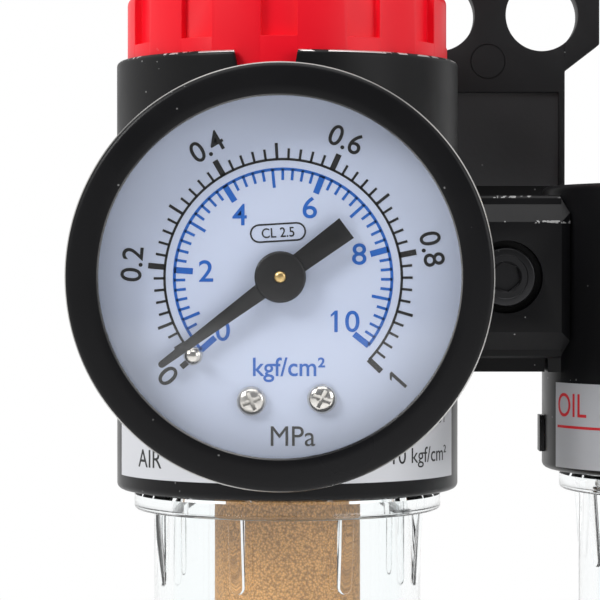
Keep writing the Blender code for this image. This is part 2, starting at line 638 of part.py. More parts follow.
def make_filter_parts(axis, plastic, brass, bronze, steel):
    top = FILTER_BOSS_BOTTOM - GAP
    low = top - DEFLECTOR_THICK
    fit = VALVE_BORE - GAP
    ring = turned("deflector", tube_outline(VALVE_BORE + 0.1 * MM, DEFLECTOR_RADIUS, low, top), plastic, axis)
    slots = bmesh.new()
    for slot in range(DEFLECTOR_SLOTS):
        angle = 2 * math.pi * slot / DEFLECTOR_SLOTS
        one = bmesh.new()
        reach = (GUIDE_FLANGE + 0.6 * MM, DEFLECTOR_RADIUS + OVERRUN)
        block(one, (reach[0], -0.9 * MM, low - OVERRUN), (reach[1], 0.9 * MM, top + OVERRUN))
        bmesh.ops.rotate(one, verts=one.verts, matrix=Matrix.Rotation(angle, 3, "Z"))
        copy = bpy.data.meshes.new("slot")
        one.to_mesh(copy)
        one.free()
        slots.from_mesh(copy)
    cut(ring, solid("deflector_slots", slots, None, axis))
    flange = low - GAP
    under = flange - GUIDE_FLANGE_THICK
    element_low = element_top() - ELEMENT_LENGTH
    baffle_top = element_low - GAP
    stud_end = baffle_top - BAFFLE_THICK - GAP - STUD_NUT_THICK
    outline = [(0, GUIDE_POCKET_FLOOR), (GUIDE_POCKET, GUIDE_POCKET_FLOOR), (GUIDE_POCKET, GUIDE_TOP)]
    outline += [(fit, GUIDE_TOP), (fit, flange), (GUIDE_FLANGE, flange), (GUIDE_FLANGE, under)]
    outline += [(STUD_RADIUS, under), (STUD_RADIUS, stud_end), (0, stud_end)]
    guide = turned("valve_guide", outline, brass, axis, MEDIUM)
    for hole in range(3):
        angle = 2 * math.pi * hole / 3
        spot = (3.05 * MM * math.cos(angle), 3.05 * MM * math.sin(angle), 0)
        bore(guide, f"guide_hole_{hole}", 0.9 * MM, under - OVERRUN, GUIDE_POCKET_FLOOR + OVERRUN, None, spot, 12)
    inner = ELEMENT_RADIUS - ELEMENT_WALL
    turned("filter_element", tube_outline(inner, ELEMENT_RADIUS, element_low, element_top()), bronze, axis, BARREL)
    hole = STUD_RADIUS + GAP
    shoulder = BAFFLE_RADIUS - BAFFLE_DROP
    outline = [(hole, baffle_top), (shoulder, baffle_top), (BAFFLE_RADIUS, baffle_top - BAFFLE_DROP)]
    outline += [(BAFFLE_RADIUS, baffle_top - BAFFLE_DROP - MM), (BAFFLE_RADIUS - MM, baffle_top - BAFFLE_DROP - MM)]
    outline += [(shoulder - 0.5 * MM, baffle_top - BAFFLE_THICK), (hole, baffle_top - BAFFLE_THICK)]
    turned("element_baffle", outline, plastic, axis, BARREL)
    nut_high = baffle_top - BAFFLE_THICK - GAP
    nut = sheet("element_nut", hexagon(STUD_NUT_FLAT + MM), nut_high - STUD_NUT_THICK, nut_high, steel, axis)
    bore(nut, "element_nut_thread", hole, nut_high - STUD_NUT_THICK - OVERRUN, nut_high + OVERRUN, None, (0, 0, 0), 16)


def quarter(radius_from, width, height_from, depth, steps):
    outline = []
    for step in range(steps + 1):
        angle = math.pi / 2 * step / steps
        outline.append((radius_from + width * math.cos(angle), height_from - depth * math.sin(angle)))
    return outline


def make_bowl(name, axis, rim_top, length, drained, material):
    """Clear bowl with a threaded neck, a rim that meets the body and short ribs under the rim."""
    inner = BOWL_RADIUS - BOWL_WALL
    rim = BOWL_RADIUS + BOWL_RIM_REACH
    rim_low = rim_top - BOWL_RIM_THICK
    bend = rim_low - length
    outline = [(inner, rim_top + BOWL_NECK), (BOWL_RADIUS, rim_top + BOWL_NECK), (BOWL_RADIUS, rim_top)]
    outline += [(rim, rim_top), (rim, rim_low), (BOWL_RADIUS, rim_low)]
    middle = DRAIN_BOSS if drained else 0
    outline += quarter(middle, BOWL_RADIUS - middle, bend, BOWL_ROUNDING, 4)
    floor = BOWL_ROUNDING - BOWL_WALL
    if drained:
        foot = bend - BOWL_ROUNDING - DRAIN_BOSS_LENGTH
        outline += [(DRAIN_BOSS, foot), (DRAIN_BORE, foot), (DRAIN_BORE, bend - floor)]
    outline += quarter(middle, inner - middle, bend, floor, 3)[::-1]
    bowl = turned(name, outline, material, axis, BARREL)
    ribs = bmesh.new()
    for rib in range(BOWL_RIBS):
        one = bmesh.new()
        root = BOWL_RADIUS - BOWL_WALL / 2
        top = rim_low + BOWL_RIM_THICK / 2
        low = rim_low - BOWL_RIB_LENGTH
        shape = [(root, top), (root, low), (BOWL_RADIUS + 0.1 * MM, low), (BOWL_RADIUS + BOWL_RIB_REACH, rim_low - MM)]
        shape += [(BOWL_RADIUS + BOWL_RIB_REACH, top)]
        prism(one, shape, -BOWL_RIB_WIDTH / 2, BOWL_RIB_WIDTH / 2, UPRIGHT)
        angle = BOWL_RIB_TURN + 2 * math.pi * rib / BOWL_RIBS
        bmesh.ops.rotate(one, verts=one.verts, matrix=Matrix.Rotation(angle, 3, "Z"))
        bmesh.ops.recalc_face_normals(one, faces=one.faces)
        copy = bpy.data.meshes.new("rib")
        one.to_mesh(copy)
        one.free()
        ribs.from_mesh(copy)
    join(bowl, solid(f"{name}_ribs", ribs, None, axis))
    return bowl


def make_bowl_seal(name, axis, rim_top, bore_top, material):
    height = (rim_top + BOWL_NECK + bore_top) / 2
    section = (bore_top - rim_top - BOWL_NECK) / 2 - GAP
    turned(name, ring_outline(BOWL_RADIUS - 1.2 * MM, section, height, 5), material, axis, BARREL)


def drain_levels():
    rim_low = -FILTER_BODY_DROP - GAP - BOWL_RIM_THICK
    bend = rim_low - BOWL_LENGTH
    floor = bend - BOWL_ROUNDING + BOWL_WALL
    foot = bend - BOWL_ROUNDING - DRAIN_BOSS_LENGTH
    return floor, foot


def make_drain(axis, material, steel):
    floor, foot = drain_levels()
    knob_top = foot - DRAIN_SPACE
    knob_low = knob_top - DRAIN_KNOB_LENGTH
    head = floor + GAP
    outline = [(0, head + DRAIN_HEAD_THICK), (DRAIN_HEAD, head + DRAIN_HEAD_THICK), (DRAIN_HEAD, head)]
    outline += [(DRAIN_STEM, head), (DRAIN_STEM, knob_top), (DRAIN_KNOB, knob_top)]
    outline += [(DRAIN_KNOB, knob_low + 0.6 * MM), (DRAIN_KNOB - 0.6 * MM, knob_low), (0, knob_low)]
    turned("drain_valve", outline, material, axis, MEDIUM)
    coil = DRAIN_BOSS - 1.6 * MM
    spring("drain_spring", coil, DRAIN_SPRING_WIRE, 3, knob_top + GAP, foot - GAP, steel, axis, 4, 10)


def make_lubricator_body(axis, material):
    name = "lubricator_body"
    body = make_body(name, axis, OIL_BODY_DROP, OIL_BORE_TOP, OIL_BOSS_RADIUS, OIL_BOSS_BOTTOM, material)
    reach = BODY_RADIUS - PORT_DEPTH + OVERRUN
    bore(body, "air_throat", AIR_THROAT, -reach, reach, ALONG_X)
    bore(body, "dome_seat", DOME_BORE, DOME_SEAT, BODY_TOP + OVERRUN, None, (0, 0, 0), ROUND)
    bore(body, "drip_passage", DRIP_PASSAGE, 0, DOME_SEAT + OVERRUN, None, (0, 0, 0), SMALL)
    spot = (0, SIPHON_OFFSET, 0)
    bore(body, "siphon_rise", DRIP_PASSAGE, SIPHON_TOP, DOME_SEAT + OVERRUN, None, spot, 12)
    bore(body, "siphon_seat", SIPHON_RADIUS + GAP, OIL_BOSS_BOTTOM - OVERRUN, SIPHON_TOP + GAP, None, spot, SMALL)
    bore(body, "fill_hole", FILL_BORE, OIL_BORE_TOP - OVERRUN, BODY_TOP + OVERRUN, None, (0, -FILL_OFFSET, 0))
    return body


def make_lubricator_parts(axis, clear, plastic, brass, bronze, steel):
    low = DOME_SEAT + GAP
    flange = DOME_BORE - GAP
    inner = DOME_RADIUS - DOME_WALL
    shoulder = low + DOME_FLANGE_THICK
    under = DOME_TOP - DOME_TOP_THICK
    hole = DRIP_SCREW + GAP
    outline = [(inner, low), (flange, low), (flange, shoulder), (DOME_RADIUS, shoulder)]
    outline += [(DOME_RADIUS, DOME_TOP - 2 * MM), (DOME_RADIUS - 0.6 * MM, DOME_TOP - 0.6 * MM)]
    outline += [(DOME_RADIUS - 2 * MM, DOME_TOP), (hole, DOME_TOP), (hole, under), (inner, under)]
    turned("sight_dome", outline, clear, axis, BARREL)
    ring_top = BODY_TOP + GAP + DOME_RING_THICK
    outline = [(DOME_RADIUS + GAP, shoulder + GAP), (flange, shoulder + GAP), (flange, BODY_TOP + GAP)]
    outline += [(DOME_RING, BODY_TOP + GAP), (DOME_RING, ring_top - 0.5 * MM), (DOME_RING - 0.5 * MM, ring_top)]
    outline += [(DOME_RADIUS + GAP, ring_top)]
    turned("dome_ring", outline, plastic, axis, BARREL)
    knob_low = DOME_TOP + GAP
    tip = under + GAP
    outline = [(0, tip), (1.2 * MM, tip), (DRIP_SCREW, tip + 0.8 * MM), (DRIP_SCREW, knob_low)]
    outline += [(DRIP_KNOB, knob_low), (DRIP_KNOB, knob_low + DRIP_KNOB_LENGTH - 0.5 * MM)]
    outline += [(DRIP_KNOB - 0.5 * MM, knob_low + DRIP_KNOB_LENGTH), (0, knob_low + DRIP_KNOB_LENGTH)]
    knob = turned("drip_adjuster", outline, plastic, axis, MEDIUM)
    top = knob_low + DRIP_KNOB_LENGTH
    slot_low = (-DRIP_KNOB - OVERRUN, -0.5 * MM, top - 1.2 * MM)
    cut(knob, slab("adjuster_slot", slot_low, (DRIP_KNOB + OVERRUN, 0.5 * MM, top + OVERRUN), None, axis))
    high = under - GAP
    seat = 1.2 * MM
    outline = [(0.8 * MM, high - seat - NOZZLE_LENGTH), (NOZZLE_RADIUS, high - seat - NOZZLE_LENGTH)]
    outline += [(NOZZLE_RADIUS, high - seat), (NOZZLE_RADIUS + 2 * MM, high - seat), (NOZZLE_RADIUS + 2 * MM, high)]
    outline += [(0.8 * MM, high)]
    turned("drip_nozzle", outline, brass, axis, 20)
    half = VENTURI_LENGTH / 2
    outer = AIR_THROAT - GAP
    outline = [(outer - VENTURI_WALL, -half), (outer, -half), (outer, half), (outer - VENTURI_WALL, half)]
    outline += [(VENTURI_THROAT, MM), (VENTURI_THROAT, -MM)]
    venturi = turned("venturi", outline, brass, axis, 24, ALONG_X)
    bore(venturi, "venturi_drip", DRIP_PASSAGE, 0, AIR_THROAT + OVERRUN, None, (0, 0, 0), 12)
    floor = -OIL_BODY_DROP - GAP - BOWL_RIM_THICK - OIL_BOWL_LENGTH - BOWL_ROUNDING + BOWL_WALL
    foot = floor + SIPHON_LIFT
    spot = (0, SIPHON_OFFSET, 0)
    tube = tube_outline(SIPHON_BORE, SIPHON_RADIUS, foot + SIPHON_FILTER_LENGTH / 2, SIPHON_TOP)
    turned("siphon_tube", tube, clear, axis, SMALL, None, spot)
    fit = SIPHON_RADIUS + GAP
    middle = foot + SIPHON_FILTER_LENGTH / 2 - GAP
    outline = [(0, foot), (SIPHON_FILTER, foot), (SIPHON_FILTER, foot + SIPHON_FILTER_LENGTH)]
    outline += [(fit, foot + SIPHON_FILTER_LENGTH), (fit, middle), (0, middle)]
    turned("siphon_filter", outline, bronze, axis, 20, None, spot)
    head = BODY_TOP + GAP
    shank = FILL_BORE - GAP
    outline = [(0, 0), (shank, 0), (shank, head), (FILL_HEAD, head), (FILL_HEAD, head + FILL_HEAD_THICK - 0.4 * MM)]
    outline += [(FILL_HEAD - 0.4 * MM, head + FILL_HEAD_THICK), (0, head + FILL_HEAD_THICK)]
    plug = turned("oil_fill_plug", outline, brass, axis, 24, None, (0, -FILL_OFFSET, 0))
    top = head + FILL_HEAD_THICK
    slot = slab("plug_slot", (-FILL_HEAD - OVERRUN, -0.5 * MM, top - MM), (FILL_HEAD + OVERRUN, 0.5 * MM, top + OVERRUN))
    slot.parent = axis
    slot.location.y = -FILL_OFFSET
    cut(plug, slot)


def make_spacer(joint, material, rubber):
    half = PORT_FACE_SPACE / 2 - GAP
    low = (-half, -SPACER_HALF_DEPTH, -PORT_PAD_DROP)
    spacer = slab("joint_spacer", low, (half, SPACER_HALF_DEPTH, PORT_PAD_RISE), material, joint)
    bore(spacer, "spacer_air", SPACER_BORE, -half - OVERRUN, half + OVERRUN, ALONG_X)
    reach = JOINT_SEAL_RING + JOINT_SEAL + GAP
    depth = 2 * JOINT_SEAL + GAP
    for side, end in (("left", -1), ("right", 1)):
        near, far = sorted((end * (half - depth), end * (half + OVERRUN)))
        bore(spacer, f"spacer_{side}_groove", reach, near, far, ALONG_X, (0, 0, 0), MEDIUM)
        middle = end * (half - JOINT_SEAL)
        outline = ring_outline(JOINT_SEAL_RING, JOINT_SEAL * 0.95, middle)
        turned(f"joint_seal_{side}", outline, rubber, joint, MEDIUM, ALONG_X)
        near, far = sorted((end * (SPACER_BORE + 0.4 * MM), end * (SPACER_HALF_DEPTH + OVERRUN)))
        bore(spacer, f"spacer_{side}_tap", CLAMP_SCREW_HOLE, near, far, ALONG_Y, (0, 0, 0), SMALL)
    return spacer


def cut_saddles(piece, joint):
    """Hollows the sides of a clamp to sit round the two bodies."""
    for side, end in (("left", -1), ("right", 1)):
        outline = drum_outline(SADDLE, -PORT_PAD_DROP - 5 * MM, PORT_PAD_RISE + 5 * MM)
        spot = (end * PITCH / 2, 0, 0)
        cut(piece, turned(f"{piece.name}_{side}_saddle", outline, None, joint, ROUND, None, spot))


def make_front_clamp(joint, material):
    base = CLAMP_HALF
    face = CLAMP_HALF - CLAMP_BEVEL
    skirt = -(CLAMP_REACH - CLAMP_BEVEL)
    mesh = bmesh.new()
    rings = []
    for half, depth in ((base, skirt), (face, -CLAMP_REACH)):
        ring = [(-half, depth, -half), (half, depth, -half), (half, depth, half), (-half, depth, half)]
        rings.append([mesh.verts.new(corner) for corner in ring])
    mesh.faces.new(rings[0])
    mesh.faces.new(rings[1])
    join_rings(mesh, rings[0], rings[1])
    clamp = solid("front_clamp", mesh, material, joint)
    back = -(SPACER_HALF_DEPTH + GAP)
    tongue = SADDLE_HALF
    rise = CLAMP_HALF - GAP
    join(clamp, slab("clamp_tongue", (-tongue, skirt - MM, -rise), (tongue, back, rise), None, joint))
    cut_saddles(clamp, joint)
    floor = back - CLAMP_FLOOR
    bore(clamp, "clamp_head_bore", CLAMP_HEAD_BORE, -CLAMP_REACH - OVERRUN, floor, ALONG_Y)
    bore(clamp, "clamp_shank_bore", CLAMP_SCREW_HOLE, floor - OVERRUN, back + OVERRUN, ALONG_Y, (0, 0, 0), SMALL)
    return clamp


def make_clamp_screw(name, joint, seat, face_turn, material):
    """Socket cap screw whose head bears on the seat, pointing at the joint's middle."""
    tip = SPACER_BORE + 0.4 * MM + GAP
    head_top = seat + GAP + CLAMP_SCREW_HEAD_THICK
    outline = [(0, tip), (CLAMP_SCREW_SHANK, tip), (CLAMP_SCREW_SHANK, seat + GAP), (CLAMP_SCREW_HEAD, seat + GAP)]
    outline += [(CLAMP_SCREW_HEAD, head_top - 0.3 * MM), (CLAMP_SCREW_HEAD - 0.3 * MM, head_top), (0, head_top)]
    screw = turned(name, outline, material, joint, 24, face_turn)
    low = head_top - CLAMP_SCREW_HEX_DEPTH
    cut(screw, sheet(f"{name}_hex", hexagon(CLAMP_SCREW_HEX), low, head_top + OVERRUN, None, joint, face_turn))
    return screw


def make_bracket(origin, joint, material):
    wide = BRACKET_HEAD_HALF
    top = BRACKET_TOP_MARGIN
    corner = wide - BRACKET_CORNER
    half = [(CLAMP_HALF, PORT_Z - CLAMP_HALF), (CLAMP_HALF, PORT_Z + BRACKET_NECK_TOP)]
    half += [(wide, PORT_Z + BRACKET_HEAD_FROM), (wide, top - BRACKET_CORNER), (corner, top)]
    outline = half + [(-x, z) for x, z in reversed(half)]
    bracket = sheet("bracket", outline, 0, BRACKET_PLATE, material, origin, UPRIGHT)
    back = SPACER_HALF_DEPTH + GAP
    skirt = CLAMP_REACH - CLAMP_BEVEL
    wall = -AXIS_Y
    low = (-CLAMP_HALF, skirt, -CLAMP_HALF)
    high = (CLAMP_HALF, wall - BRACKET_PLATE / 2, CLAMP_HALF)
    join(bracket, slab("bracket_block", low, high, None, joint))
    rise = CLAMP_HALF - GAP
    join(bracket, slab("bracket_tongue", (-SADDLE_HALF, back, -rise), (SADDLE_HALF, skirt + MM, rise), None, joint))
    cut_saddles(bracket, joint)
    for side, end in (("left", -1), ("right", 1)):
        x = end * BRACKET_HOLE_X
        through = (-OVERRUN, BRACKET_PLATE + OVERRUN)
        round_spot = (x, 0, PORT_Z + BRACKET_HOLE_RISE)
        hole = drum_outline(BRACKET_HOLE, *through)
        cut(bracket, turned(f"bracket_{side}_hole", hole, None, origin, MEDIUM, UPRIGHT, round_spot))
        slot = []
        for end_sign, start in ((1, 0), (-1, math.pi)):
            for step in range(9):
                angle = start + math.pi * step / 8
                z = end_sign * BRACKET_SLOT_TRAVEL + BRACKET_SLOT_HALF * math.sin(angle)
                slot.append((x + BRACKET_SLOT_HALF * math.cos(angle), z))
        cut(bracket, sheet(f"bracket_{side}_slot", slot, *through, None, origin, UPRIGHT))
    edge = CLAMP_HALF - BRACKET_PANEL_EDGE
    front = -BRACKET_PLATE
    panel_low = (-edge, front - OVERRUN, PORT_Z + BRACKET_PANEL_LOW)
    panel_high = (edge, front + BRACKET_PANEL_DEPTH, PORT_Z + BRACKET_PANEL_HIGH)
    cut(bracket, slab("bracket_panel", panel_low, panel_high, None, origin))
    seat = wall - BRACKET_SCREW_SEAT
    bore(bracket, "bracket_head_bore", CLAMP_HEAD_BORE, seat, wall + OVERRUN, ALONG_Y)
    bracket.modifiers[-1].object.parent = joint
    bore(bracket, "bracket_shank_bore", CLAMP_SCREW_HOLE, 0, seat + OVERRUN, ALONG_Y, (0, 0, 0), SMALL)
    bracket.modifiers[-1].object.parent = joint
    return seat


def make_gauge(gauge, steel, black, glass, white, brass, silver):
    opening = BEZEL_OPENING
    inside = BEZEL_RADIUS - BEZEL_SKIN
    back = -BEZEL_DEPTH
    roll = BEZEL_RADIUS + BEZEL_ROLL
    outline = [(opening, 0), (BEZEL_RADIUS - 0.5 * MM, 0), (BEZEL_RADIUS, -0.5 * MM)]
    outline += [(BEZEL_RADIUS, back + BEZEL_ROLL_LENGTH), (roll, back + BEZEL_ROLL_LENGTH - BEZEL_ROLL)]
    outline += [(roll, back), (inside, back), (inside, -LENS_DEPTH + GAP), (opening, -LENS_DEPTH + GAP)]
    turned("gauge_bezel", outline, black, gauge)
    lens_low = -LENS_DEPTH - LENS_THICK
    turned("gauge_lens", drum_outline(inside - GAP, lens_low, -LENS_DEPTH), glass, gauge)
    outer = inside - GAP
    inner = outer - CASE_WALL
    rim = lens_low - GAP
    hole = SOCKET_STEM + GAP
    outline = [(hole, -CASE_BACK), (outer - CASE_CORNER, -CASE_BACK), (outer, CASE_CORNER - CASE_BACK), (outer, rim)]
    outline += [(inner, rim), (inner, CASE_CORNER - CASE_BACK), (inner - CASE_CORNER + CASE_WALL, CASE_WALL - CASE_BACK)]
    outline += [(hole, CASE_WALL - CASE_BACK)]
    turned("gauge_case", outline, black, gauge)
    dial = turned("gauge_dial", drum_outline(inner - GAP, -DIAL_DEPTH - DIAL_THICK, -DIAL_DEPTH), white, gauge)
    bore(dial, "dial_hole", PINION_SHAFT + 2 * GAP, -DIAL_DEPTH - DIAL_THICK - OVERRUN, OVERRUN - DIAL_DEPTH, segments=16)
    frame_top = -MOVEMENT_FRONT
    for name, (x, y) in DIAL_SCREWS.items():
        spot = (x, y, 0)
        bore(dial, f"{name}_hole", DIAL_SCREW_SHANK + GAP, -DIAL_DEPTH - MM, -DIAL_DEPTH + MM, None, spot, 12)
        seat = -DIAL_DEPTH + 0.1 * MM
        top = seat + DIAL_SCREW_PROUD
        outline = [(0, frame_top + GAP), (DIAL_SCREW_SHANK, frame_top + GAP), (DIAL_SCREW_SHANK, seat)]
        outline += [(DIAL_SCREW_HEAD, seat), (DIAL_SCREW_HEAD * 0.85, top - 0.35 * MM)]
        outline += [(DIAL_SCREW_HEAD * 0.4, top), (0, top)]
        turned(name, outline, silver, gauge, 12, None, spot)
    spot = (STOP_PIN_RING * math.cos(STOP_PIN_ANGLE), STOP_PIN_RING * math.sin(STOP_PIN_ANGLE), 0)
    bore(dial, "stop_pin_hole", STOP_PIN_RADIUS + GAP, -DIAL_DEPTH - MM, MM - DIAL_DEPTH, None, spot, 12)
    pin_back = -DIAL_DEPTH - DIAL_THICK - GAP
    outline = [(0, pin_back), (STOP_PIN_RADIUS, pin_back), (STOP_PIN_RADIUS, 0.1 * MM - DIAL_DEPTH)]
    outline += [(STOP_PIN_FLANGE, 0.1 * MM - DIAL_DEPTH), (STOP_PIN_FLANGE, 0.5 * MM - DIAL_DEPTH)]
    outline += [(STOP_PIN_RADIUS, 0.6 * MM - DIAL_DEPTH), (STOP_PIN_RADIUS, 0.3 * MM - POINTER_DEPTH)]
    outline += [(0, 0.3 * MM - POINTER_DEPTH)]
    turned("stop_pin", outline, silver, gauge, 12, None, spot)


def make_pointer(gauge, black, brass):
    low = -POINTER_DEPTH - POINTER_THICK
    half = [(-POINTER_TAIL, 1.25 * MM), (0, 0.95 * MM), (POINTER_TIP - 0.4 * MM, 0.38 * MM), (POINTER_TIP, 0.12 * MM)]
    outline = [(x, -y) for x, y in half] + half[::-1]
    pointer = sheet("gauge_pointer", outline, low, -POINTER_DEPTH, black, gauge)
    pointer.rotation_euler.z = POINTER_ANGLE
    hub = turned("pointer_hub", drum_outline(POINTER_HUB, low - 0.2 * MM, 0.15 * MM - POINTER_DEPTH), None, gauge, 24)
    join(pointer, hub)
    bore(pointer, "pointer_hole", PINION_SHAFT + 0.1 * MM, low - MM, MM - POINTER_DEPTH, segments=16)
    back = -(MOVEMENT_FRONT + 2 * MOVEMENT_SHEET + MOVEMENT_SPACE)
    outline = [(0, back), (PINION_SHAFT, back), (PINION_SHAFT, 0.2 * MM - POINTER_DEPTH)]
    outline += [(0.3 * MM, 0.4 * MM - POINTER_DEPTH), (0, 0.4 * MM - POINTER_DEPTH)]
    shaft = turned("pointer_shaft", outline, brass, gauge, 16)
    pitch = GEAR_MODULE * PINION_TEETH / 2
    teeth = toothed(pitch - 1.2 * GEAR_MODULE, pitch - GAP / 2, PINION_TEETH, 0, 2 * math.pi)
    join(shaft, sheet("pinion_teeth", teeth, -GEAR_FRONT - GEAR_THICK, -GEAR_FRONT, None, gauge))


def toothed(root, tip, teeth, start, span):
    outline = []
    for tooth in range(teeth):
        for share, radius in ((0.1, root), (0.35, tip), (0.65, tip), (0.9, root)):
            angle = start + span * (tooth + share) / teeth
            outline.append((radius * math.cos(angle), radius * math.sin(angle)))
    return outline


def make_sector(gauge, brass):
    low = -GEAR_FRONT - GEAR_THICK
    pitch = GEAR_MODULE * SECTOR_TEETH / 2
    teeth = round(SECTOR_TEETH * SECTOR_SPAN / (2 * math.pi))
    swing = POINTER_SWEEP * PINION_TEETH / SECTOR_TEETH
    start = SECTOR_ANGLE + math.pi - SECTOR_SPAN / 2 - swing / 2
    outline = toothed(pitch - 1.2 * GEAR_MODULE, pitch - GAP / 2, teeth, start, SECTOR_SPAN) + [(0, 0)]
    sector = sheet("gear_sector", outline, low, -GEAR_FRONT, brass, gauge, None, SECTOR_PIVOT)
    outward = Vector((math.cos(SECTOR_ANGLE), math.sin(SECTOR_ANGLE)))
    side = Vector((-outward.y, outward.x))
    reach = SECTOR_TAIL + LINK_HALF
    arm = [outward * reach + side * LINK_HALF, outward * -MM + side * LINK_HALF]
    arm += [outward * -MM - side * LINK_HALF, outward * reach - side * LINK_HALF]
    join(sector, sheet("sector_tail", [tuple(point) for point in arm], low, -GEAR_FRONT, None, gauge, None, SECTOR_PIVOT))
    back = -(MOVEMENT_FRONT + 2 * MOVEMENT_SHEET + MOVEMENT_SPACE)
    pivot = drum_outline(PINION_SHAFT, back, -MOVEMENT_FRONT)
    join(sector, turned("sector_pivot", pivot, None, gauge, 16, None, SECTOR_PIVOT))
    return sector


def make_movement(gauge, brass, steel):
    outward = Vector((math.cos(SECTOR_ANGLE), math.sin(SECTOR_ANGLE)))
    half = MOVEMENT_HALF
    strip = half + 0.6 * MM
    foot_x = (-5.2 * MM, 5.9 * MM)
    foot_y = (-14.2 * MM, -10.4 * MM)
    end = Vector(SECTOR_PIVOT[:2]) + outward * half
    side = Vector((outward.y, -outward.x)) * half
    outline = [(foot_x[0], foot_y[0]), (foot_x[1], foot_y[0]), (foot_x[1], foot_y[1]), (strip, foot_y[1])]
    outline += [(strip, 0.22 * MM), tuple(end + side), tuple(end - side), (-strip, -0.22 * MM)]
    outline += [(-strip, foot_y[1]), (foot_x[0], foot_y[1])]
    front_low = -MOVEMENT_FRONT - MOVEMENT_SHEET
    rear_high = front_low - MOVEMENT_SPACE
    rear_low = rear_high - MOVEMENT_SHEET
    frame = sheet("movement_frame", outline, front_low, -MOVEMENT_FRONT, brass, gauge)
    join(frame, sheet("movement_rear", outline, rear_low, rear_high, None, gauge))
    low = (foot_x[0] + MM, foot_y[0] + 0.5 * MM, rear_low + 0.2 * MM)
    high = (foot_x[1] - MM, foot_y[1] - 0.5 * MM, -MOVEMENT_FRONT - 0.2 * MM)
    join(frame, slab("movement_pillar", low, high, None, gauge))
    clear = PINION_SHAFT + GAP
    for name, spot in (("pinion", (0, 0, 0)), ("sector", SECTOR_PIVOT)):
        bore(frame, f"{name}_bearing", clear, rear_low - OVERRUN, OVERRUN - MOVEMENT_FRONT, None, spot, 12)
    block_top = rear_low - GAP
    low = (foot_x[0], -15.0 * MM, -17.0 * MM)
    high = (foot_x[1], -9.0 * MM, block_top)
    socket = slab("gauge_socket", low, high, brass, gauge)
    join(socket, slab("socket_bridge", (-4.5 * MM, -12 * MM, -17 * MM), (4.5 * MM, 4.5 * MM, -14 * MM), None, gauge))
    hex_low = -(GAUGE_REACH - BODY_RADIUS) + GAP
    hex_high = -CASE_BACK - GAP
    stem = [(0, hex_low + MM), (SOCKET_STEM, hex_low + MM), (SOCKET_STEM, -16 * MM), (0, -16 * MM)]
    join(socket, turned("socket_stem", stem, None, gauge, MEDIUM))
    join(socket, sheet("socket_hex", hexagon(SOCKET_FLAT), hex_low, hex_high, None, gauge))
    thread = drum_outline(SOCKET_THREAD, hex_low - SOCKET_THREAD_LENGTH, hex_low + MM)
    join(socket, turned("socket_thread", thread, None, gauge, MEDIUM))
    bore(socket, "socket_passage", SOCKET_BORE, hex_low - SOCKET_THREAD_LENGTH - OVERRUN, -15 * MM, segments=12)
    middle = -TUBE_MIDDLE
    sweep = TUBE_END - TUBE_START
    args = (TUBE_RING, TUBE_HALF_WIDTH, TUBE_HALF_DEPTH, TUBE_START, sweep, middle, middle)
    wound("bourdon_tube", *args, brass, gauge, 6, 20)
    tail = Vector(SECTOR_PIVOT[:2]) + outward * SECTOR_TAIL
    tip = Vector((math.cos(TUBE_END), math.sin(TUBE_END))) * TUBE_RING
    along = (tip - tail).normalized() * LINK_HALF
    across = Vector((-along.y, along.x))
    outline = [tail - along - across, tip + along - across, tip + along + across, tail - along + across]
    high = -LINK_FRONT
    sheet("gauge_link", [tuple(point) for point in outline], high - LINK_THICK, high, steel, gauge)


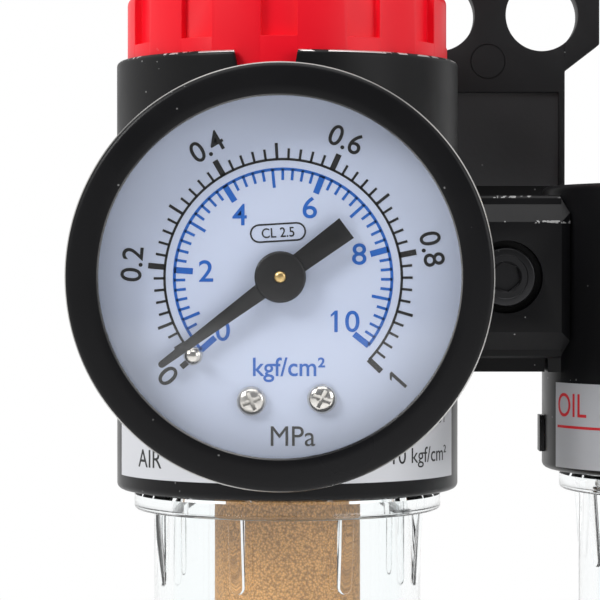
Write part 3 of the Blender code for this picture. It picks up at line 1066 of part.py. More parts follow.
def main():
    clear_scene()
    black = finish("black enamelled zinc", (0.012, 0.012, 0.013), 0.42)
    black_plastic = finish("black glass-filled plastic", (0.014, 0.014, 0.015), 0.48)
    red = finish("red moulded plastic", (0.87, 0.015, 0.03), 0.32)
    clear = finish("clear polycarbonate", (0.95, 0.97, 0.98), 0.05, 0.0, 1.0)
    white = finish("white painted aluminium", (0.83, 0.88, 0.93), 0.4)
    natural = finish("white acetal", (0.8, 0.8, 0.78), 0.4)
    steel = finish("spring steel", (0.45, 0.45, 0.46), 0.3, 1.0)
    silver = finish("nickel plated steel", (0.72, 0.7, 0.66), 0.22, 1.0)
    brass = finish("brass", (0.78, 0.58, 0.28), 0.28, 1.0)
    bronze = finish("sintered bronze", (0.5, 0.27, 0.12), 0.75, 0.6)
    rubber = finish("black nitrile rubber", (0.02, 0.02, 0.02), 0.7)

    origin = axis_at("bracket_back", (0, 0, 0))
    joint = axis_at("joint_middle", (0, AXIS_Y, PORT_Z))
    regulator = axis_at("regulator_axis", (-PITCH / 2, AXIS_Y, PORT_Z))
    lubricator = axis_at("lubricator_axis", (PITCH / 2, AXIS_Y, PORT_Z))
    facing = UPRIGHT @ Matrix.Rotation(GAUGE_TURN, 4, "Z")
    gauge = axis_at("gauge_axis", (-PITCH / 2, AXIS_Y - GAUGE_REACH, PORT_Z), facing)

    make_regulator_body(regulator, black)
    make_gauge_port_plug(regulator, silver)
    make_bonnet(regulator, black_plastic)
    make_adjusting_knob(regulator, red)
    make_adjusting_screw(regulator, steel)
    make_spring_seat_nut(regulator, brass)
    make_regulating_parts(regulator, steel, rubber, brass)
    make_filter_parts(regulator, natural, brass, bronze, steel)
    rim_top = -FILTER_BODY_DROP - GAP
    make_bowl("filter_bowl", regulator, rim_top, BOWL_LENGTH, True, clear)
    make_bowl_seal("filter_bowl_o_ring", regulator, rim_top, FILTER_BORE_TOP, rubber)
    make_drain(regulator, black_plastic, steel)

    make_lubricator_body(lubricator, black)
    rim_top = -OIL_BODY_DROP - GAP
    make_bowl("oil_bowl", lubricator, rim_top, OIL_BOWL_LENGTH, False, clear)
    make_bowl_seal("oil_bowl_o_ring", lubricator, rim_top, OIL_BORE_TOP, rubber)
    make_lubricator_parts(lubricator, clear, black_plastic, brass, bronze, steel)

    make_spacer(joint, black, rubber)
    make_front_clamp(joint, black_plastic)
    seat = make_bracket(origin, joint, black_plastic)
    toward_front = UPRIGHT
    front_seat = SPACER_HALF_DEPTH + GAP + CLAMP_FLOOR
    make_clamp_screw("clamp_screw_front", joint, front_seat, toward_front, black)
    make_clamp_screw("clamp_screw_rear", joint, seat, ALONG_Y, black)

    make_gauge(gauge, steel, black, clear, white, brass, silver)
    make_pointer(gauge, black, brass)
    make_sector(gauge, brass)
    make_movement(gauge, brass, steel)


main()
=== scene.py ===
import json
import math

import bmesh
import bpy
from mathutils import Matrix, Vector


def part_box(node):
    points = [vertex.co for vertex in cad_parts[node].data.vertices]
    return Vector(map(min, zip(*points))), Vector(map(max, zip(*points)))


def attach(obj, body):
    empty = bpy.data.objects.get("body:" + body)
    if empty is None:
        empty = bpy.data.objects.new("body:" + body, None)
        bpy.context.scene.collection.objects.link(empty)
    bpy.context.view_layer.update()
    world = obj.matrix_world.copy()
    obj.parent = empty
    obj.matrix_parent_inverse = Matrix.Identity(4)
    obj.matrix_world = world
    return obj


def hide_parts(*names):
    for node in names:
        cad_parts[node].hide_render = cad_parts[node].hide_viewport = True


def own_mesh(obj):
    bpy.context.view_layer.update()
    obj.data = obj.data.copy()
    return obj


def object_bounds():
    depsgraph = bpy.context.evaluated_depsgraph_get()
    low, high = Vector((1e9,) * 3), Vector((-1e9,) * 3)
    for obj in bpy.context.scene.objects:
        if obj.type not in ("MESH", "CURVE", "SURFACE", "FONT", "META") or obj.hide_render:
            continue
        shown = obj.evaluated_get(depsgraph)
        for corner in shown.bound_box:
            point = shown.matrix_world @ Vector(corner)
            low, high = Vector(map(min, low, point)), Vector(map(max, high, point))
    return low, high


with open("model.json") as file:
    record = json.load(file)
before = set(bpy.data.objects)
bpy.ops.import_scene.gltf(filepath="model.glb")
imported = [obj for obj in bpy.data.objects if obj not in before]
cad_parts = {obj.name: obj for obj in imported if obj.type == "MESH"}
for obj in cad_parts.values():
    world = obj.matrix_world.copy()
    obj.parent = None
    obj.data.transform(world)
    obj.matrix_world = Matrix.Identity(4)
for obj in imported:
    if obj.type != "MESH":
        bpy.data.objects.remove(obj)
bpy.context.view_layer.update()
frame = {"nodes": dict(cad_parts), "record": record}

mm = 0.001


# places, all taken from the frame

def middleOf(node):
    low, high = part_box(node)
    return (Vector(low) + Vector(high)) / 2


def edgesOf(node):
    low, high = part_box(node)
    return Vector(low), Vector(high)


def placeOf(mountName):
    for mount in frame["record"]["mounts"]:
        if mount["name"] == mountName:
            return Vector(mount["pos_m"])


bonnetLow, bonnetHigh = edgesOf("bonnet")
bodyLow, bodyHigh = edgesOf("regulator_body")
oilLow, oilHigh = edgesOf("lubricator_body")
clampMiddle = middleOf("joint_spacer")
bezelLow, bezelHigh = edgesOf("gauge_bezel")
unitX = abs((bodyLow.x + bodyHigh.x) / 2)
unitY = middleOf("bonnet").y
portZ = bodyHigh.z - 10.6 * mm
regulatorAt = Vector((-unitX, unitY, portZ))
oilerAt = Vector((unitX, unitY, portZ))
jointAt = Vector((0, unitY, portZ))
gaugeAt = Vector((-unitX, bezelLow.y, portZ))
bodyRadius = (bodyHigh.x - bodyLow.x) / 2
gaugeTurn = math.radians(3.4)
gaugeFrame = (
    Matrix.Translation(gaugeAt) @ Matrix.Rotation(math.radians(90), 4, "X") @ Matrix.Rotation(gaugeTurn, 4, "Z")
)
alongX = Matrix.Rotation(math.radians(90), 4, "Y")
alongMinusY = Matrix.Rotation(math.radians(90), 4, "X")
alongY = Matrix.Rotation(math.radians(-90), 4, "X")


# modelling helpers

def deselectAll():
    if bpy.context.mode != "OBJECT":
        bpy.ops.object.mode_set(mode="OBJECT")
    bpy.ops.object.select_all(action="DESELECT")


def pickOnly(piece):
    deselectAll()
    piece.select_set(True)
    bpy.context.view_layer.objects.active = piece


def bakePlace(piece):
    pickOnly(piece)
    bpy.ops.object.transform_apply(location=True, rotation=True, scale=True)


def putAt(piece, place):
    piece.matrix_world = place @ piece.matrix_world
    bakePlace(piece)
    return piece


def smooth(piece, degrees=35):
    pickOnly(piece)
    bpy.ops.object.shade_smooth_by_angle(angle=math.radians(degrees))
    return piece


def applyModifier(piece, modifier):
    pickOnly(piece)
    bpy.ops.object.modifier_apply(modifier=modifier.name)


def roundEdges(piece, width, segments=2, degrees=35):
    modifier = piece.modifiers.new("roundedEdges", "BEVEL")
    modifier.width = width
    modifier.segments = segments
    modifier.limit_method = "ANGLE"
    modifier.angle_limit = math.radians(degrees)
    modifier.miter_outer = "MITER_ARC"
    applyModifier(piece, modifier)
    return smooth(piece)


def combine(piece, tool, operation):
    modifier = piece.modifiers.new("cut", "BOOLEAN")
    modifier.operation = operation
    modifier.object = tool
    applyModifier(piece, modifier)
    bpy.data.objects.remove(tool)
    return piece


def cutWith(piece, tool):
    return combine(piece, tool, "DIFFERENCE")


def fuseWith(piece, tool):
    return combine(piece, tool, "UNION")


def joinAll(pieces, name):
    deselectAll()
    for piece in pieces:
        piece.select_set(True)
    bpy.context.view_layer.objects.active = pieces[0]
    bpy.ops.object.join()
    joined = bpy.context.object
    joined.name = name
    return joined


def arc(centre, radius, fromDegrees, toDegrees, steps):
    points = []
    for step in range(steps + 1):
        angle = math.radians(fromDegrees + (toDegrees - fromDegrees) * step / steps)
        points.append((centre[0] + radius * math.cos(angle), centre[1] + radius * math.sin(angle)))
    return points


def turnPiece(name, profile, segments=128, shape=None):
    # Turns a ring up through a closed profile
    deselectAll()
    radius, height = max(profile[0][0], 1e-6), profile[0][1]
    bpy.ops.mesh.primitive_circle_add(vertices=segments, radius=radius, location=(0, 0, height))
    piece = bpy.context.object
    piece.name = name
    bakePlace(piece)
    bpy.ops.object.mode_set(mode="EDIT")
    bpy.ops.mesh.select_all(action="SELECT")
    for nextRadius, nextHeight in profile[1:]:
        nextRadius = max(nextRadius, 1e-6)
        scale = nextRadius / radius
        bpy.ops.mesh.extrude_edges_move(TRANSFORM_OT_translate={"value": (0, 0, nextHeight - height)})
        bpy.ops.transform.resize(value=(scale, scale, 1), center_override=(0, 0, nextHeight))
        radius, height = nextRadius, nextHeight
        if shape:
            shape(piece, radius, height)
    closeTurn(profile)
    bpy.ops.object.mode_set(mode="OBJECT")
    return smooth(piece)


def closeTurn(profile):
    # ends on the axis are welded, other ends are bridged
    bpy.ops.mesh.select_all(action="DESELECT")
    bpy.ops.mesh.select_mode(type="EDGE")
    bpy.ops.mesh.select_non_manifold(extend=False, use_wire=False, use_boundary=True)
    if profile[0][0] > 0 and profile[-1][0] > 0:
        bpy.ops.mesh.bridge_edge_loops()
    bpy.ops.mesh.select_mode(type="VERT")
    bpy.ops.mesh.select_all(action="SELECT")
    bpy.ops.mesh.remove_doubles(threshold=3e-6)
    bpy.ops.mesh.normals_make_consistent(inside=False)


def blockPiece(name, low, high, bevel=0.0, segments=2):
    deselectAll()
    low, high = Vector(low), Vector(high)
    bpy.ops.mesh.primitive_cube_add(size=1, location=(low + high) / 2)
    piece = bpy.context.object
    piece.name = name
    piece.scale = high - low
    bakePlace(piece)
    if bevel:
        roundEdges(piece, bevel, segments)
    return piece


def barPiece(name, flats, radius, low, high, turn=0.0):
    # a bar with that many flats, standing on Z
    deselectAll()
    bpy.ops.mesh.primitive_cylinder_add(
        vertices=flats, radius=radius, depth=high - low, location=(0, 0, (low + high) / 2), rotation=(0, 0, turn)
    )
    piece = bpy.context.object
    piece.name = name
    bakePlace(piece)
    return piece


def outlinePiece(name, outline, low, high):
    # a flat outline, filled and extruded along Z
    deselectAll()
    bpy.ops.mesh.primitive_circle_add(vertices=len(outline), radius=mm, location=(0, 0, 0))
    piece = bpy.context.object
    piece.name = name
    for point, place in zip(piece.data.vertices, outline):
        point.co = (place[0], place[1], low)
    bpy.ops.object.mode_set(mode="EDIT")
    bpy.ops.mesh.select_all(action="SELECT")
    bpy.ops.mesh.edge_face_add()
    bpy.ops.mesh.extrude_region_move(TRANSFORM_OT_translate={"value": (0, 0, high - low)})
    bpy.ops.mesh.select_all(action="SELECT")
    bpy.ops.mesh.normals_make_consistent(inside=False)
    bpy.ops.object.mode_set(mode="OBJECT")
    return piece


def textPiece(name, words, high, wide, at, turn, low, thick, bold=0.0):
    # a word as a thin solid of that height and width, centred on its place
    deselectAll()
    bpy.ops.object.text_add(location=(0, 0, 0))
    piece = bpy.context.object
    piece.data.body = words
    piece.data.size = high
    piece.data.extrude = thick / 2
    piece.data.offset = bold * high
    piece.data.resolution_u = 6
    bpy.ops.object.convert(target="MESH")
    piece = bpy.context.object
    piece.name = name
    xs = [point.co.x for point in piece.data.vertices]
    ys = [point.co.y for point in piece.data.vertices]
    centre = Vector(((min(xs) + max(xs)) / 2, (min(ys) + max(ys)) / 2, 0))
    fit = Matrix.Diagonal((wide / (max(xs) - min(xs)), high / (max(ys) - min(ys)), 1, 1))
    turned = Matrix.Translation((*at, low + thick / 2)) @ Matrix.Rotation(turn, 4, "Z")
    piece.matrix_world = turned @ fit @ Matrix.Translation(-centre)
    bakePlace(piece)
    return piece


def dress(piece, material, body, slotName, *nodes):
    # finish, body and the CAD nodes it stands for; slotName is not used
    piece.data.materials.clear()
    piece.data.materials.append(material)
    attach(piece, body)
    if nodes:
        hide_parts(*nodes)
    return piece


# node groups

def newGroup(name, inputs, outputs):
    group = bpy.data.node_groups.new(name, "ShaderNodeTree")
    for label, kind, value in inputs:
        entry = group.interface.new_socket(name=label, in_out="INPUT", socket_type=kind)
        if value is not None:
            entry.default_value = value
    for label, kind in outputs:
        group.interface.new_socket(name=label, in_out="OUTPUT", socket_type=kind)
    source = group.nodes.new("NodeGroupInput")
    target = group.nodes.new("NodeGroupOutput")
    return group, source, target


def addNode(tree, kind, **settings):
    node = tree.nodes.new(kind)
    for key, value in settings.items():
        setattr(node, key, value)
    return node


def mathNode(tree, operation, first, second):
    node = addNode(tree, "ShaderNodeMath", operation=operation)
    for index, value in enumerate((first, second)):
        if isinstance(value, (int, float)):
            node.inputs[index].default_value = value
        else:
            tree.links.new(value, node.inputs[index])
    return node.outputs[0]


def makeGrainGroup():
    # fine moulded or painted grain: a mask and a bumped normal
    inputs = [("Vector", "NodeSocketVector", None), ("Size", "NodeSocketFloat", 3000.0)]
    inputs += [("Bump", "NodeSocketFloat", 0.2), ("Depth", "NodeSocketFloat", 0.00002)]
    group, source, target = newGroup("fineGrain", inputs, [("Mask", "NodeSocketFloat"), ("Normal", "NodeSocketVector")])
    noise = addNode(group, "ShaderNodeTexNoise")
    noise.inputs["Detail"].default_value = 3.0
    noise.inputs["Roughness"].default_value = 0.6
    bump = addNode(group, "ShaderNodeBump")
    group.links.new(source.outputs["Vector"], noise.inputs["Vector"])
    group.links.new(source.outputs["Size"], noise.inputs["Scale"])
    group.links.new(noise.outputs["Fac"], bump.inputs["Height"])
    group.links.new(source.outputs["Bump"], bump.inputs["Strength"])
    group.links.new(source.outputs["Depth"], bump.inputs["Distance"])
    group.links.new(noise.outputs["Fac"], target.inputs["Mask"])
    group.links.new(bump.outputs["Normal"], target.inputs["Normal"])
    return group


def makeSmudgeGroup():
    # broad handling marks that change the gloss, with sparse light dust
    inputs = [("Vector", "NodeSocketVector", None), ("Size", "NodeSocketFloat", 60.0)]
    inputs += [("Low", "NodeSocketFloat", 0.3), ("High", "NodeSocketFloat", 0.5)]
    inputs += [("Dust Size", "NodeSocketFloat", 900.0), ("Dust", "NodeSocketFloat", 0.5)]
    group, source, target = newGroup("smudgesAndDust", inputs, [("Roughness", "NodeSocketFloat"), ("Dust", "NodeSocketFloat")])
    noise = addNode(group, "ShaderNodeTexNoise")
    noise.inputs["Detail"].default_value = 4.0
    spread = addNode(group, "ShaderNodeMapRange")
    spread.inputs["From Min"].default_value = 0.35
    spread.inputs["From Max"].default_value = 0.65
    specks = addNode(group, "ShaderNodeTexVoronoi")
    patches = addNode(group, "ShaderNodeTexNoise")
    group.links.new(source.outputs["Vector"], noise.inputs["Vector"])
    group.links.new(source.outputs["Size"], noise.inputs["Scale"])
    group.links.new(noise.outputs["Fac"], spread.inputs["Value"])
    group.links.new(source.outputs["Low"], spread.inputs["To Min"])
    group.links.new(source.outputs["High"], spread.inputs["To Max"])
    group.links.new(spread.outputs["Result"], target.inputs["Roughness"])
    group.links.new(source.outputs["Vector"], specks.inputs["Vector"])
    group.links.new(source.outputs["Dust Size"], specks.inputs["Scale"])
    group.links.new(source.outputs["Vector"], patches.inputs["Vector"])
    patches.inputs["Scale"].default_value = 140.0
    near = mathNode(group, "LESS_THAN", specks.outputs["Distance"], 0.1)
    some = mathNode(group, "GREATER_THAN", patches.outputs["Fac"], 0.58)
    both = mathNode(group, "MULTIPLY", near, some)
    amount = mathNode(group, "MULTIPLY", both, source.outputs["Dust"])
    group.links.new(amount, target.inputs["Dust"])
    return group


def makeTintGroup():
    # slow colour change between two close tones
    inputs = [("Vector", "NodeSocketVector", None), ("Size", "NodeSocketFloat", 40.0)]
    inputs += [("First", "NodeSocketColor", (0, 0, 0, 1)), ("Second", "NodeSocketColor", (1, 1, 1, 1))]
    group, source, target = newGroup("twoTones", inputs, [("Color", "NodeSocketColor")])
    noise = addNode(group, "ShaderNodeTexNoise")
    mix = addNode(group, "ShaderNodeMix", data_type="RGBA")
    group.links.new(source.outputs["Vector"], noise.inputs["Vector"])
    group.links.new(source.outputs["Size"], noise.inputs["Scale"])
    group.links.new(noise.outputs["Fac"], mix.inputs["Factor"])
    group.links.new(source.outputs["First"], mix.inputs[6])
    group.links.new(source.outputs["Second"], mix.inputs[7])
    group.links.new(mix.outputs[2], target.inputs["Color"])
    return group


def makeWearAndGlintGroup():
    # broken bright patches along a level rim: worn paint, and on the clamp's edges painted highlight too
    inputs = [("Vector", "NodeSocketVector", None), ("Level", "NodeSocketFloat", 0.0)]
    inputs += [("Band", "NodeSocketFloat", 0.0002), ("Size", "NodeSocketFloat", 900.0)]
    group, source, target = newGroup("rimWearAndGlint", inputs, [("Mask", "NodeSocketFloat")])
    split = addNode(group, "ShaderNodeSeparateXYZ")
    noise = addNode(group, "ShaderNodeTexNoise")
    patches = addNode(group, "ShaderNodeTexNoise")
    patches.inputs["Scale"].default_value = 110.0
    group.links.new(source.outputs["Vector"], split.inputs["Vector"])
    group.links.new(source.outputs["Vector"], noise.inputs["Vector"])
    group.links.new(source.outputs["Vector"], patches.inputs["Vector"])
    group.links.new(source.outputs["Size"], noise.inputs["Scale"])
    away = mathNode(group, "ABSOLUTE", mathNode(group, "SUBTRACT", split.outputs["Z"], source.outputs["Level"]), 0.0)
    near = mathNode(group, "LESS_THAN", away, source.outputs["Band"])
    both = mathNode(group, "ADD", noise.outputs["Fac"], patches.outputs["Fac"])
    wearAndHighlightPatches = mathNode(group, "GREATER_THAN", both, 1.02)
    group.links.new(mathNode(group, "MULTIPLY", near, wearAndHighlightPatches), target.inputs["Mask"])
    return group


groups = {
    "grain": makeGrainGroup(), "smudge": makeSmudgeGroup(), "tint": makeTintGroup(), "wearAndGlint": makeWearAndGlintGroup(),
}
print("node groups made")


# materials

def startMaterial(name):
    material = bpy.data.materials.new(name)
    material.use_nodes = True
    tree = material.node_tree
    shader = tree.nodes["Principled BSDF"]
    coords = addNode(tree, "ShaderNodeTexCoord")
    return material, tree, shader, coords.outputs["Object"]


def addGroup(tree, name, coords, **values):
    node = addNode(tree, "ShaderNodeGroup")
    node.node_tree = groups[name]
    tree.links.new(coords, node.inputs["Vector"])
    for label, value in values.items():
        node.inputs[label.replace("_", " ")].default_value = value
    return node


def coatedMaterial(name, first, second, low, high, grainSize, bump, dust=0.0, metallic=0.0, coat=0.0, level=0.5):
    # painted, moulded or plated surface: two close tones, grain in the normal, handling marks in the gloss
    material, tree, shader, coords = startMaterial(name)
    tint = addGroup(tree, "tint", coords, Size=45.0, First=(*first, 1), Second=(*second, 1))
    grain = addGroup(tree, "grain", coords, Size=grainSize, Bump=bump)
    smudge = addGroup(tree, "smudge", coords, Low=low, High=high, Dust=dust)
    mix = addNode(tree, "ShaderNodeMix", data_type="RGBA")
    tree.links.new(smudge.outputs["Dust"], mix.inputs["Factor"])
    tree.links.new(tint.outputs["Color"], mix.inputs[6])
    mix.inputs[7].default_value = (0.6, 0.6, 0.6, 1)
    tree.links.new(mix.outputs[2], shader.inputs["Base Color"])
    tree.links.new(smudge.outputs["Roughness"], shader.inputs["Roughness"])
    tree.links.new(grain.outputs["Normal"], shader.inputs["Normal"])
    shader.inputs["Metallic"].default_value = metallic
    shader.inputs["Coat Weight"].default_value = coat
    shader.inputs["Specular IOR Level"].default_value = level
    return material


def clearMaterial(name, colour, roughness, ior, grainSize=900.0, bump=0.03):
    material, tree, shader, coords = startMaterial(name)
    grain = addGroup(tree, "grain", coords, Size=grainSize, Bump=bump)
    tint = addGroup(tree, "tint", coords, Size=30.0, First=(*colour, 1), Second=(1.0, 1.0, 1.0, 1))
    tree.links.new(tint.outputs["Color"], shader.inputs["Base Color"])
    tree.links.new(grain.outputs["Normal"], shader.inputs["Normal"])
    shader.inputs["Roughness"].default_value = roughness
    shader.inputs["IOR"].default_value = ior
    shader.inputs["Transmission Weight"].default_value = 1.0
    path = addNode(tree, "ShaderNodeLightPath")
    lit = mathNode(tree, "MULTIPLY", path.outputs["Is Shadow Ray"], -0.88)
    tree.links.new(mathNode(tree, "ADD", lit, 1.0), shader.inputs["Alpha"])
    return material


def bronzeMaterial():
    # fused bronze beads: a close pattern of small cells, with painted light on the bead tops and painted shade in the
    # gaps between beads
    material, tree, shader, coords = startMaterial("sinteredBronze")
    beads = addNode(tree, "ShaderNodeTexVoronoi", feature="F1")
    beads.inputs["Scale"].default_value = 3800.0
    tree.links.new(coords, beads.inputs["Vector"])
    # painted light at each bead's centre, painted shade in the gaps between beads
    beadLightAndShade = addNode(tree, "ShaderNodeValToRGB")
    beadLightAndShade.color_ramp.elements[0].position = 0.12
    beadLightAndShade.color_ramp.elements[0].color = (0.84, 0.46, 0.16, 1)
    beadLightAndShade.color_ramp.elements[1].position = 0.75
    beadLightAndShade.color_ramp.elements[1].color = (0.36, 0.18, 0.05, 1)
    tree.links.new(beads.outputs["Distance"], beadLightAndShade.inputs["Fac"])
    tint = addGroup(tree, "tint", coords, Size=700.0, First=(0.84, 0.8, 0.68, 1), Second=(1.0, 1.0, 1.0, 1))
    mix = addNode(tree, "ShaderNodeMix", data_type="RGBA", blend_type="MULTIPLY")
    mix.inputs["Factor"].default_value = 1.0
    tree.links.new(beadLightAndShade.outputs["Color"], mix.inputs[6])
    tree.links.new(tint.outputs["Color"], mix.inputs[7])
    tree.links.new(mix.outputs[2], shader.inputs["Base Color"])
    bump = addNode(tree, "ShaderNodeBump", invert=True)
    bump.inputs["Strength"].default_value = 0.7
    bump.inputs["Distance"].default_value = 0.0001
    tree.links.new(beads.outputs["Distance"], bump.inputs["Height"])
    tree.links.new(bump.outputs["Normal"], shader.inputs["Normal"])
    shader.inputs["Metallic"].default_value = 0.35
    shader.inputs["Roughness"].default_value = 0.6
    return material


finishes = {
    "bezelBlack": coatedMaterial("bezelBlack", (0.0035, 0.0035, 0.004), (0.006, 0.006, 0.007), 0.24, 0.4, 4200, 0.35, 0.25, level=0.16),
    "castBlack": coatedMaterial("castBlack", (0.004, 0.004, 0.0045), (0.007, 0.007, 0.008), 0.3, 0.46, 2600, 0.25, 0.3, level=0.16),
    "plasticBlack": coatedMaterial("plasticBlack", (0.011, 0.011, 0.012), (0.022, 0.022, 0.023), 0.4, 0.55, 3600, 0.3, 0.35, level=0.16),
    "panelBlack": coatedMaterial("panelBlack", (0.016, 0.016, 0.017), (0.05, 0.05, 0.054), 0.45, 0.62, 1500, 0.8, 0.2),
    "knobRed": coatedMaterial("knobRed", (0.8, 0.003, 0.014), (0.86, 0.005, 0.02), 0.3, 0.42, 1800, 0.16, 0.08, level=0.25),
    "dialWhite": coatedMaterial("dialWhite", (0.6, 0.67, 0.85), (0.64, 0.71, 0.88), 0.38, 0.5, 6000, 0.05, 0.15),
    "inkBlack": coatedMaterial("inkBlack", (0.006, 0.006, 0.007), (0.012, 0.012, 0.013), 0.4, 0.55, 8000, 0.05),
    "inkRed": coatedMaterial("inkRed", (0.62, 0.012, 0.02), (0.7, 0.02, 0.03), 0.4, 0.55, 8000, 0.05),
    "foil": coatedMaterial("labelFoil", (0.56, 0.57, 0.6), (0.66, 0.67, 0.7), 0.4, 0.52, 5000, 0.08, 0.0, 0.35),
    "inkBlue": coatedMaterial("inkBlue", (0.006, 0.11, 0.5), (0.01, 0.14, 0.56), 0.4, 0.55, 8000, 0.05),
    "pointerBlack": coatedMaterial("pointerBlack", (0.006, 0.006, 0.007), (0.011, 0.011, 0.012), 0.32, 0.45, 5000, 0.15, 0.2),
    "acetal": coatedMaterial("acetal", (0.78, 0.78, 0.75), (0.84, 0.84, 0.82), 0.35, 0.5, 2500, 0.1),
    "nickel": coatedMaterial("nickel", (0.66, 0.63, 0.58), (0.78, 0.76, 0.72), 0.14, 0.3, 5000, 0.12, 0.0, 1.0),
    "steel": coatedMaterial("steel", (0.42, 0.42, 0.43), (0.52, 0.52, 0.53), 0.22, 0.38, 4000, 0.15, 0.0, 1.0),
    "brass": coatedMaterial("brass", (0.72, 0.5, 0.2), (0.82, 0.6, 0.28), 0.2, 0.36, 3500, 0.15, 0.0, 1.0),
    "screwBlack": coatedMaterial("screwBlack", (0.02, 0.02, 0.022), (0.035, 0.035, 0.037), 0.28, 0.42, 4000, 0.2, 0.1, 0.7),
    "rubber": coatedMaterial("rubber", (0.012, 0.012, 0.012), (0.022, 0.022, 0.022), 0.6, 0.75, 3000, 0.3),
    "bowlClear": clearMaterial("bowlClear", (0.95, 0.985, 0.99), 0.03, 1.5),
    "lensClear": clearMaterial("lensClear", (0.985, 0.995, 1.0), 0.01, 1.45, 300.0, 0.004),
    "bronze": bronzeMaterial(),
}
print("materials made")


# camera, lights, floor

cameraSet = {"lens": 153.4, "sensor": 36.0, "at": (-20.0, -323.5, -44.0), "pan": 0.67, "pitch": -0.515}


def makeCamera():
    deselectAll()
    x, y, z = cameraSet["at"]
    bpy.ops.object.camera_add(
        location=(x * mm, y * mm, z * mm),
        rotation=(math.radians(90 + cameraSet["pitch"]), 0, math.radians(cameraSet["pan"])),
    )
    camera = bpy.context.object
    camera.name = "studioCamera"
    camera.data.lens = cameraSet["lens"]
    camera.data.sensor_width = cameraSet["sensor"]
    camera.data.clip_start = 0.01
    camera.data.clip_end = 20
    bpy.context.scene.camera = camera


worldSet = {"front": 0.12, "back": 0.85}
lightSet = {
    "leftTop": {"at": (-0.75, -0.6, 0.6), "size": 0.38, "power": 6.5},
    "rightFront": {"at": (0.8, -0.55, 0.25), "size": 0.5, "power": 2.5},
    "overhead": {"at": (0.0, -0.25, 0.8), "size": 0.7, "power": 4.0},
    "lowFront": {"at": (0.1, -0.8, -0.6), "size": 0.5, "power": 1.5},
}


def makeLights():
    target = Vector((-0.01, -0.03, -0.05))
    for name, light in lightSet.items():
        deselectAll()
        bpy.ops.object.light_add(type="AREA", location=light["at"])
        lamp = bpy.context.object
        lamp.name = name
        lamp.data.shape = "SQUARE"
        lamp.data.size = light["size"]
        lamp.data.energy = light["power"]
        lamp.rotation_euler = (target - lamp.location).to_track_quat("-Z", "Y").to_euler()
    bpy.context.scene.world = makeWorld()
    bpy.context.scene.view_settings.view_transform = "Standard"


def makeWorld():
    # white surround, dimmer on the side the front faces
    world = bpy.data.worlds.new("studioWorld")
    world.use_nodes = True
    tree = world.node_tree
    surround = tree.nodes["Background"]
    coords = addNode(tree, "ShaderNodeTexCoord")
    split = addNode(tree, "ShaderNodeSeparateXYZ")
    tree.links.new(coords.outputs["Generated"], split.inputs["Vector"])
    facing = addNode(tree, "ShaderNodeMapRange")
    facing.inputs["From Min"].default_value = -0.75
    facing.inputs["From Max"].default_value = 0.1
    facing.inputs["To Min"].default_value = worldSet["front"]
    facing.inputs["To Max"].default_value = worldSet["back"]
    tree.links.new(split.outputs["Y"], facing.inputs["Value"])
    path = addNode(tree, "ShaderNodeLightPath")
    seen = mathNode(tree, "MAXIMUM", path.outputs["Is Camera Ray"], path.outputs["Is Transmission Ray"])
    blend = addNode(tree, "ShaderNodeMix")
    tree.links.new(seen, blend.inputs["Factor"])
    tree.links.new(facing.outputs["Result"], blend.inputs["A"])
    blend.inputs["B"].default_value = 1.0
    tree.links.new(blend.outputs["Result"], surround.inputs["Strength"])
    surround.inputs["Color"].default_value = (1.0, 1.0, 1.0, 1)
    return world


def makeFloor():
    # a pale floor that takes shadow near the object and fades to white further out
    floorMaterial, tree, shader, coords = startMaterial("paleFloor")
    tint = addGroup(tree, "tint", coords, Size=6.0, First=(0.86, 0.86, 0.86, 1), Second=(0.9, 0.9, 0.9, 1))
    away = addNode(tree, "ShaderNodeVectorMath", operation="LENGTH")
    tree.links.new(coords, away.inputs[0])
    fade = addNode(tree, "ShaderNodeMapRange", interpolation_type="SMOOTHSTEP")
    fade.inputs["From Min"].default_value = 0.16
    fade.inputs["From Max"].default_value = 0.4
    tree.links.new(away.outputs["Value"], fade.inputs["Value"])
    mix = addNode(tree, "ShaderNodeMix", data_type="RGBA")
    tree.links.new(fade.outputs["Result"], mix.inputs["Factor"])
    tree.links.new(tint.outputs["Color"], mix.inputs[6])
    mix.inputs[7].default_value = (0, 0, 0, 1)
    tree.links.new(mix.outputs[2], shader.inputs["Base Color"])
    glow = addNode(tree, "ShaderNodeMix", data_type="RGBA")
    tree.links.new(fade.outputs["Result"], glow.inputs["Factor"])
    glow.inputs[6].default_value = (0.12, 0.12, 0.12, 1)
    glow.inputs[7].default_value = (1, 1, 1, 1)
    tree.links.new(glow.outputs[2], shader.inputs["Emission Color"])
    shader.inputs["Emission Strength"].default_value = 1.0
    shader.inputs["Roughness"].default_value = 0.9
    shader.inputs["Specular IOR Level"].default_value = 0.0
    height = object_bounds()[0][2] - 2 * mm
    deselectAll()
    bpy.ops.mesh.primitive_plane_add(size=8, location=(0, 0, height))
    floor = bpy.context.object
    floor.name = "floor"
    bakePlace(floor)
    floor.data.materials.append(floorMaterial)


makeCamera()
makeLights()
makeFloor()
print("stage set")


# pressure gauge, made facing +Z about its own axis, then put in place

dialSet = {
    "radius": 19.2, "plane": -4.5, "thick": 0.6, "ink": 0.03,
    "middle": 89.5, "sweep": 273.0, "zeroMark": 217.9,
    "arc": 12.0, "minor": 13.1, "major": 13.7, "numbers": 15.35,
    "blueArc": 11.0, "blueMinor": 9.9, "blueMajor": 9.15, "kgfToMpa": 0.0980665,
}


def onGauge(piece):
    return putAt(piece, gaugeFrame)


def scaled(points):
    return [(x * mm, y * mm) for x, y in points]


socketSet = {"flat": 12.0, "low": -26.7, "high": -20.3, "thread": 4.2, "pitch": 1.337, "groove": 0.35}


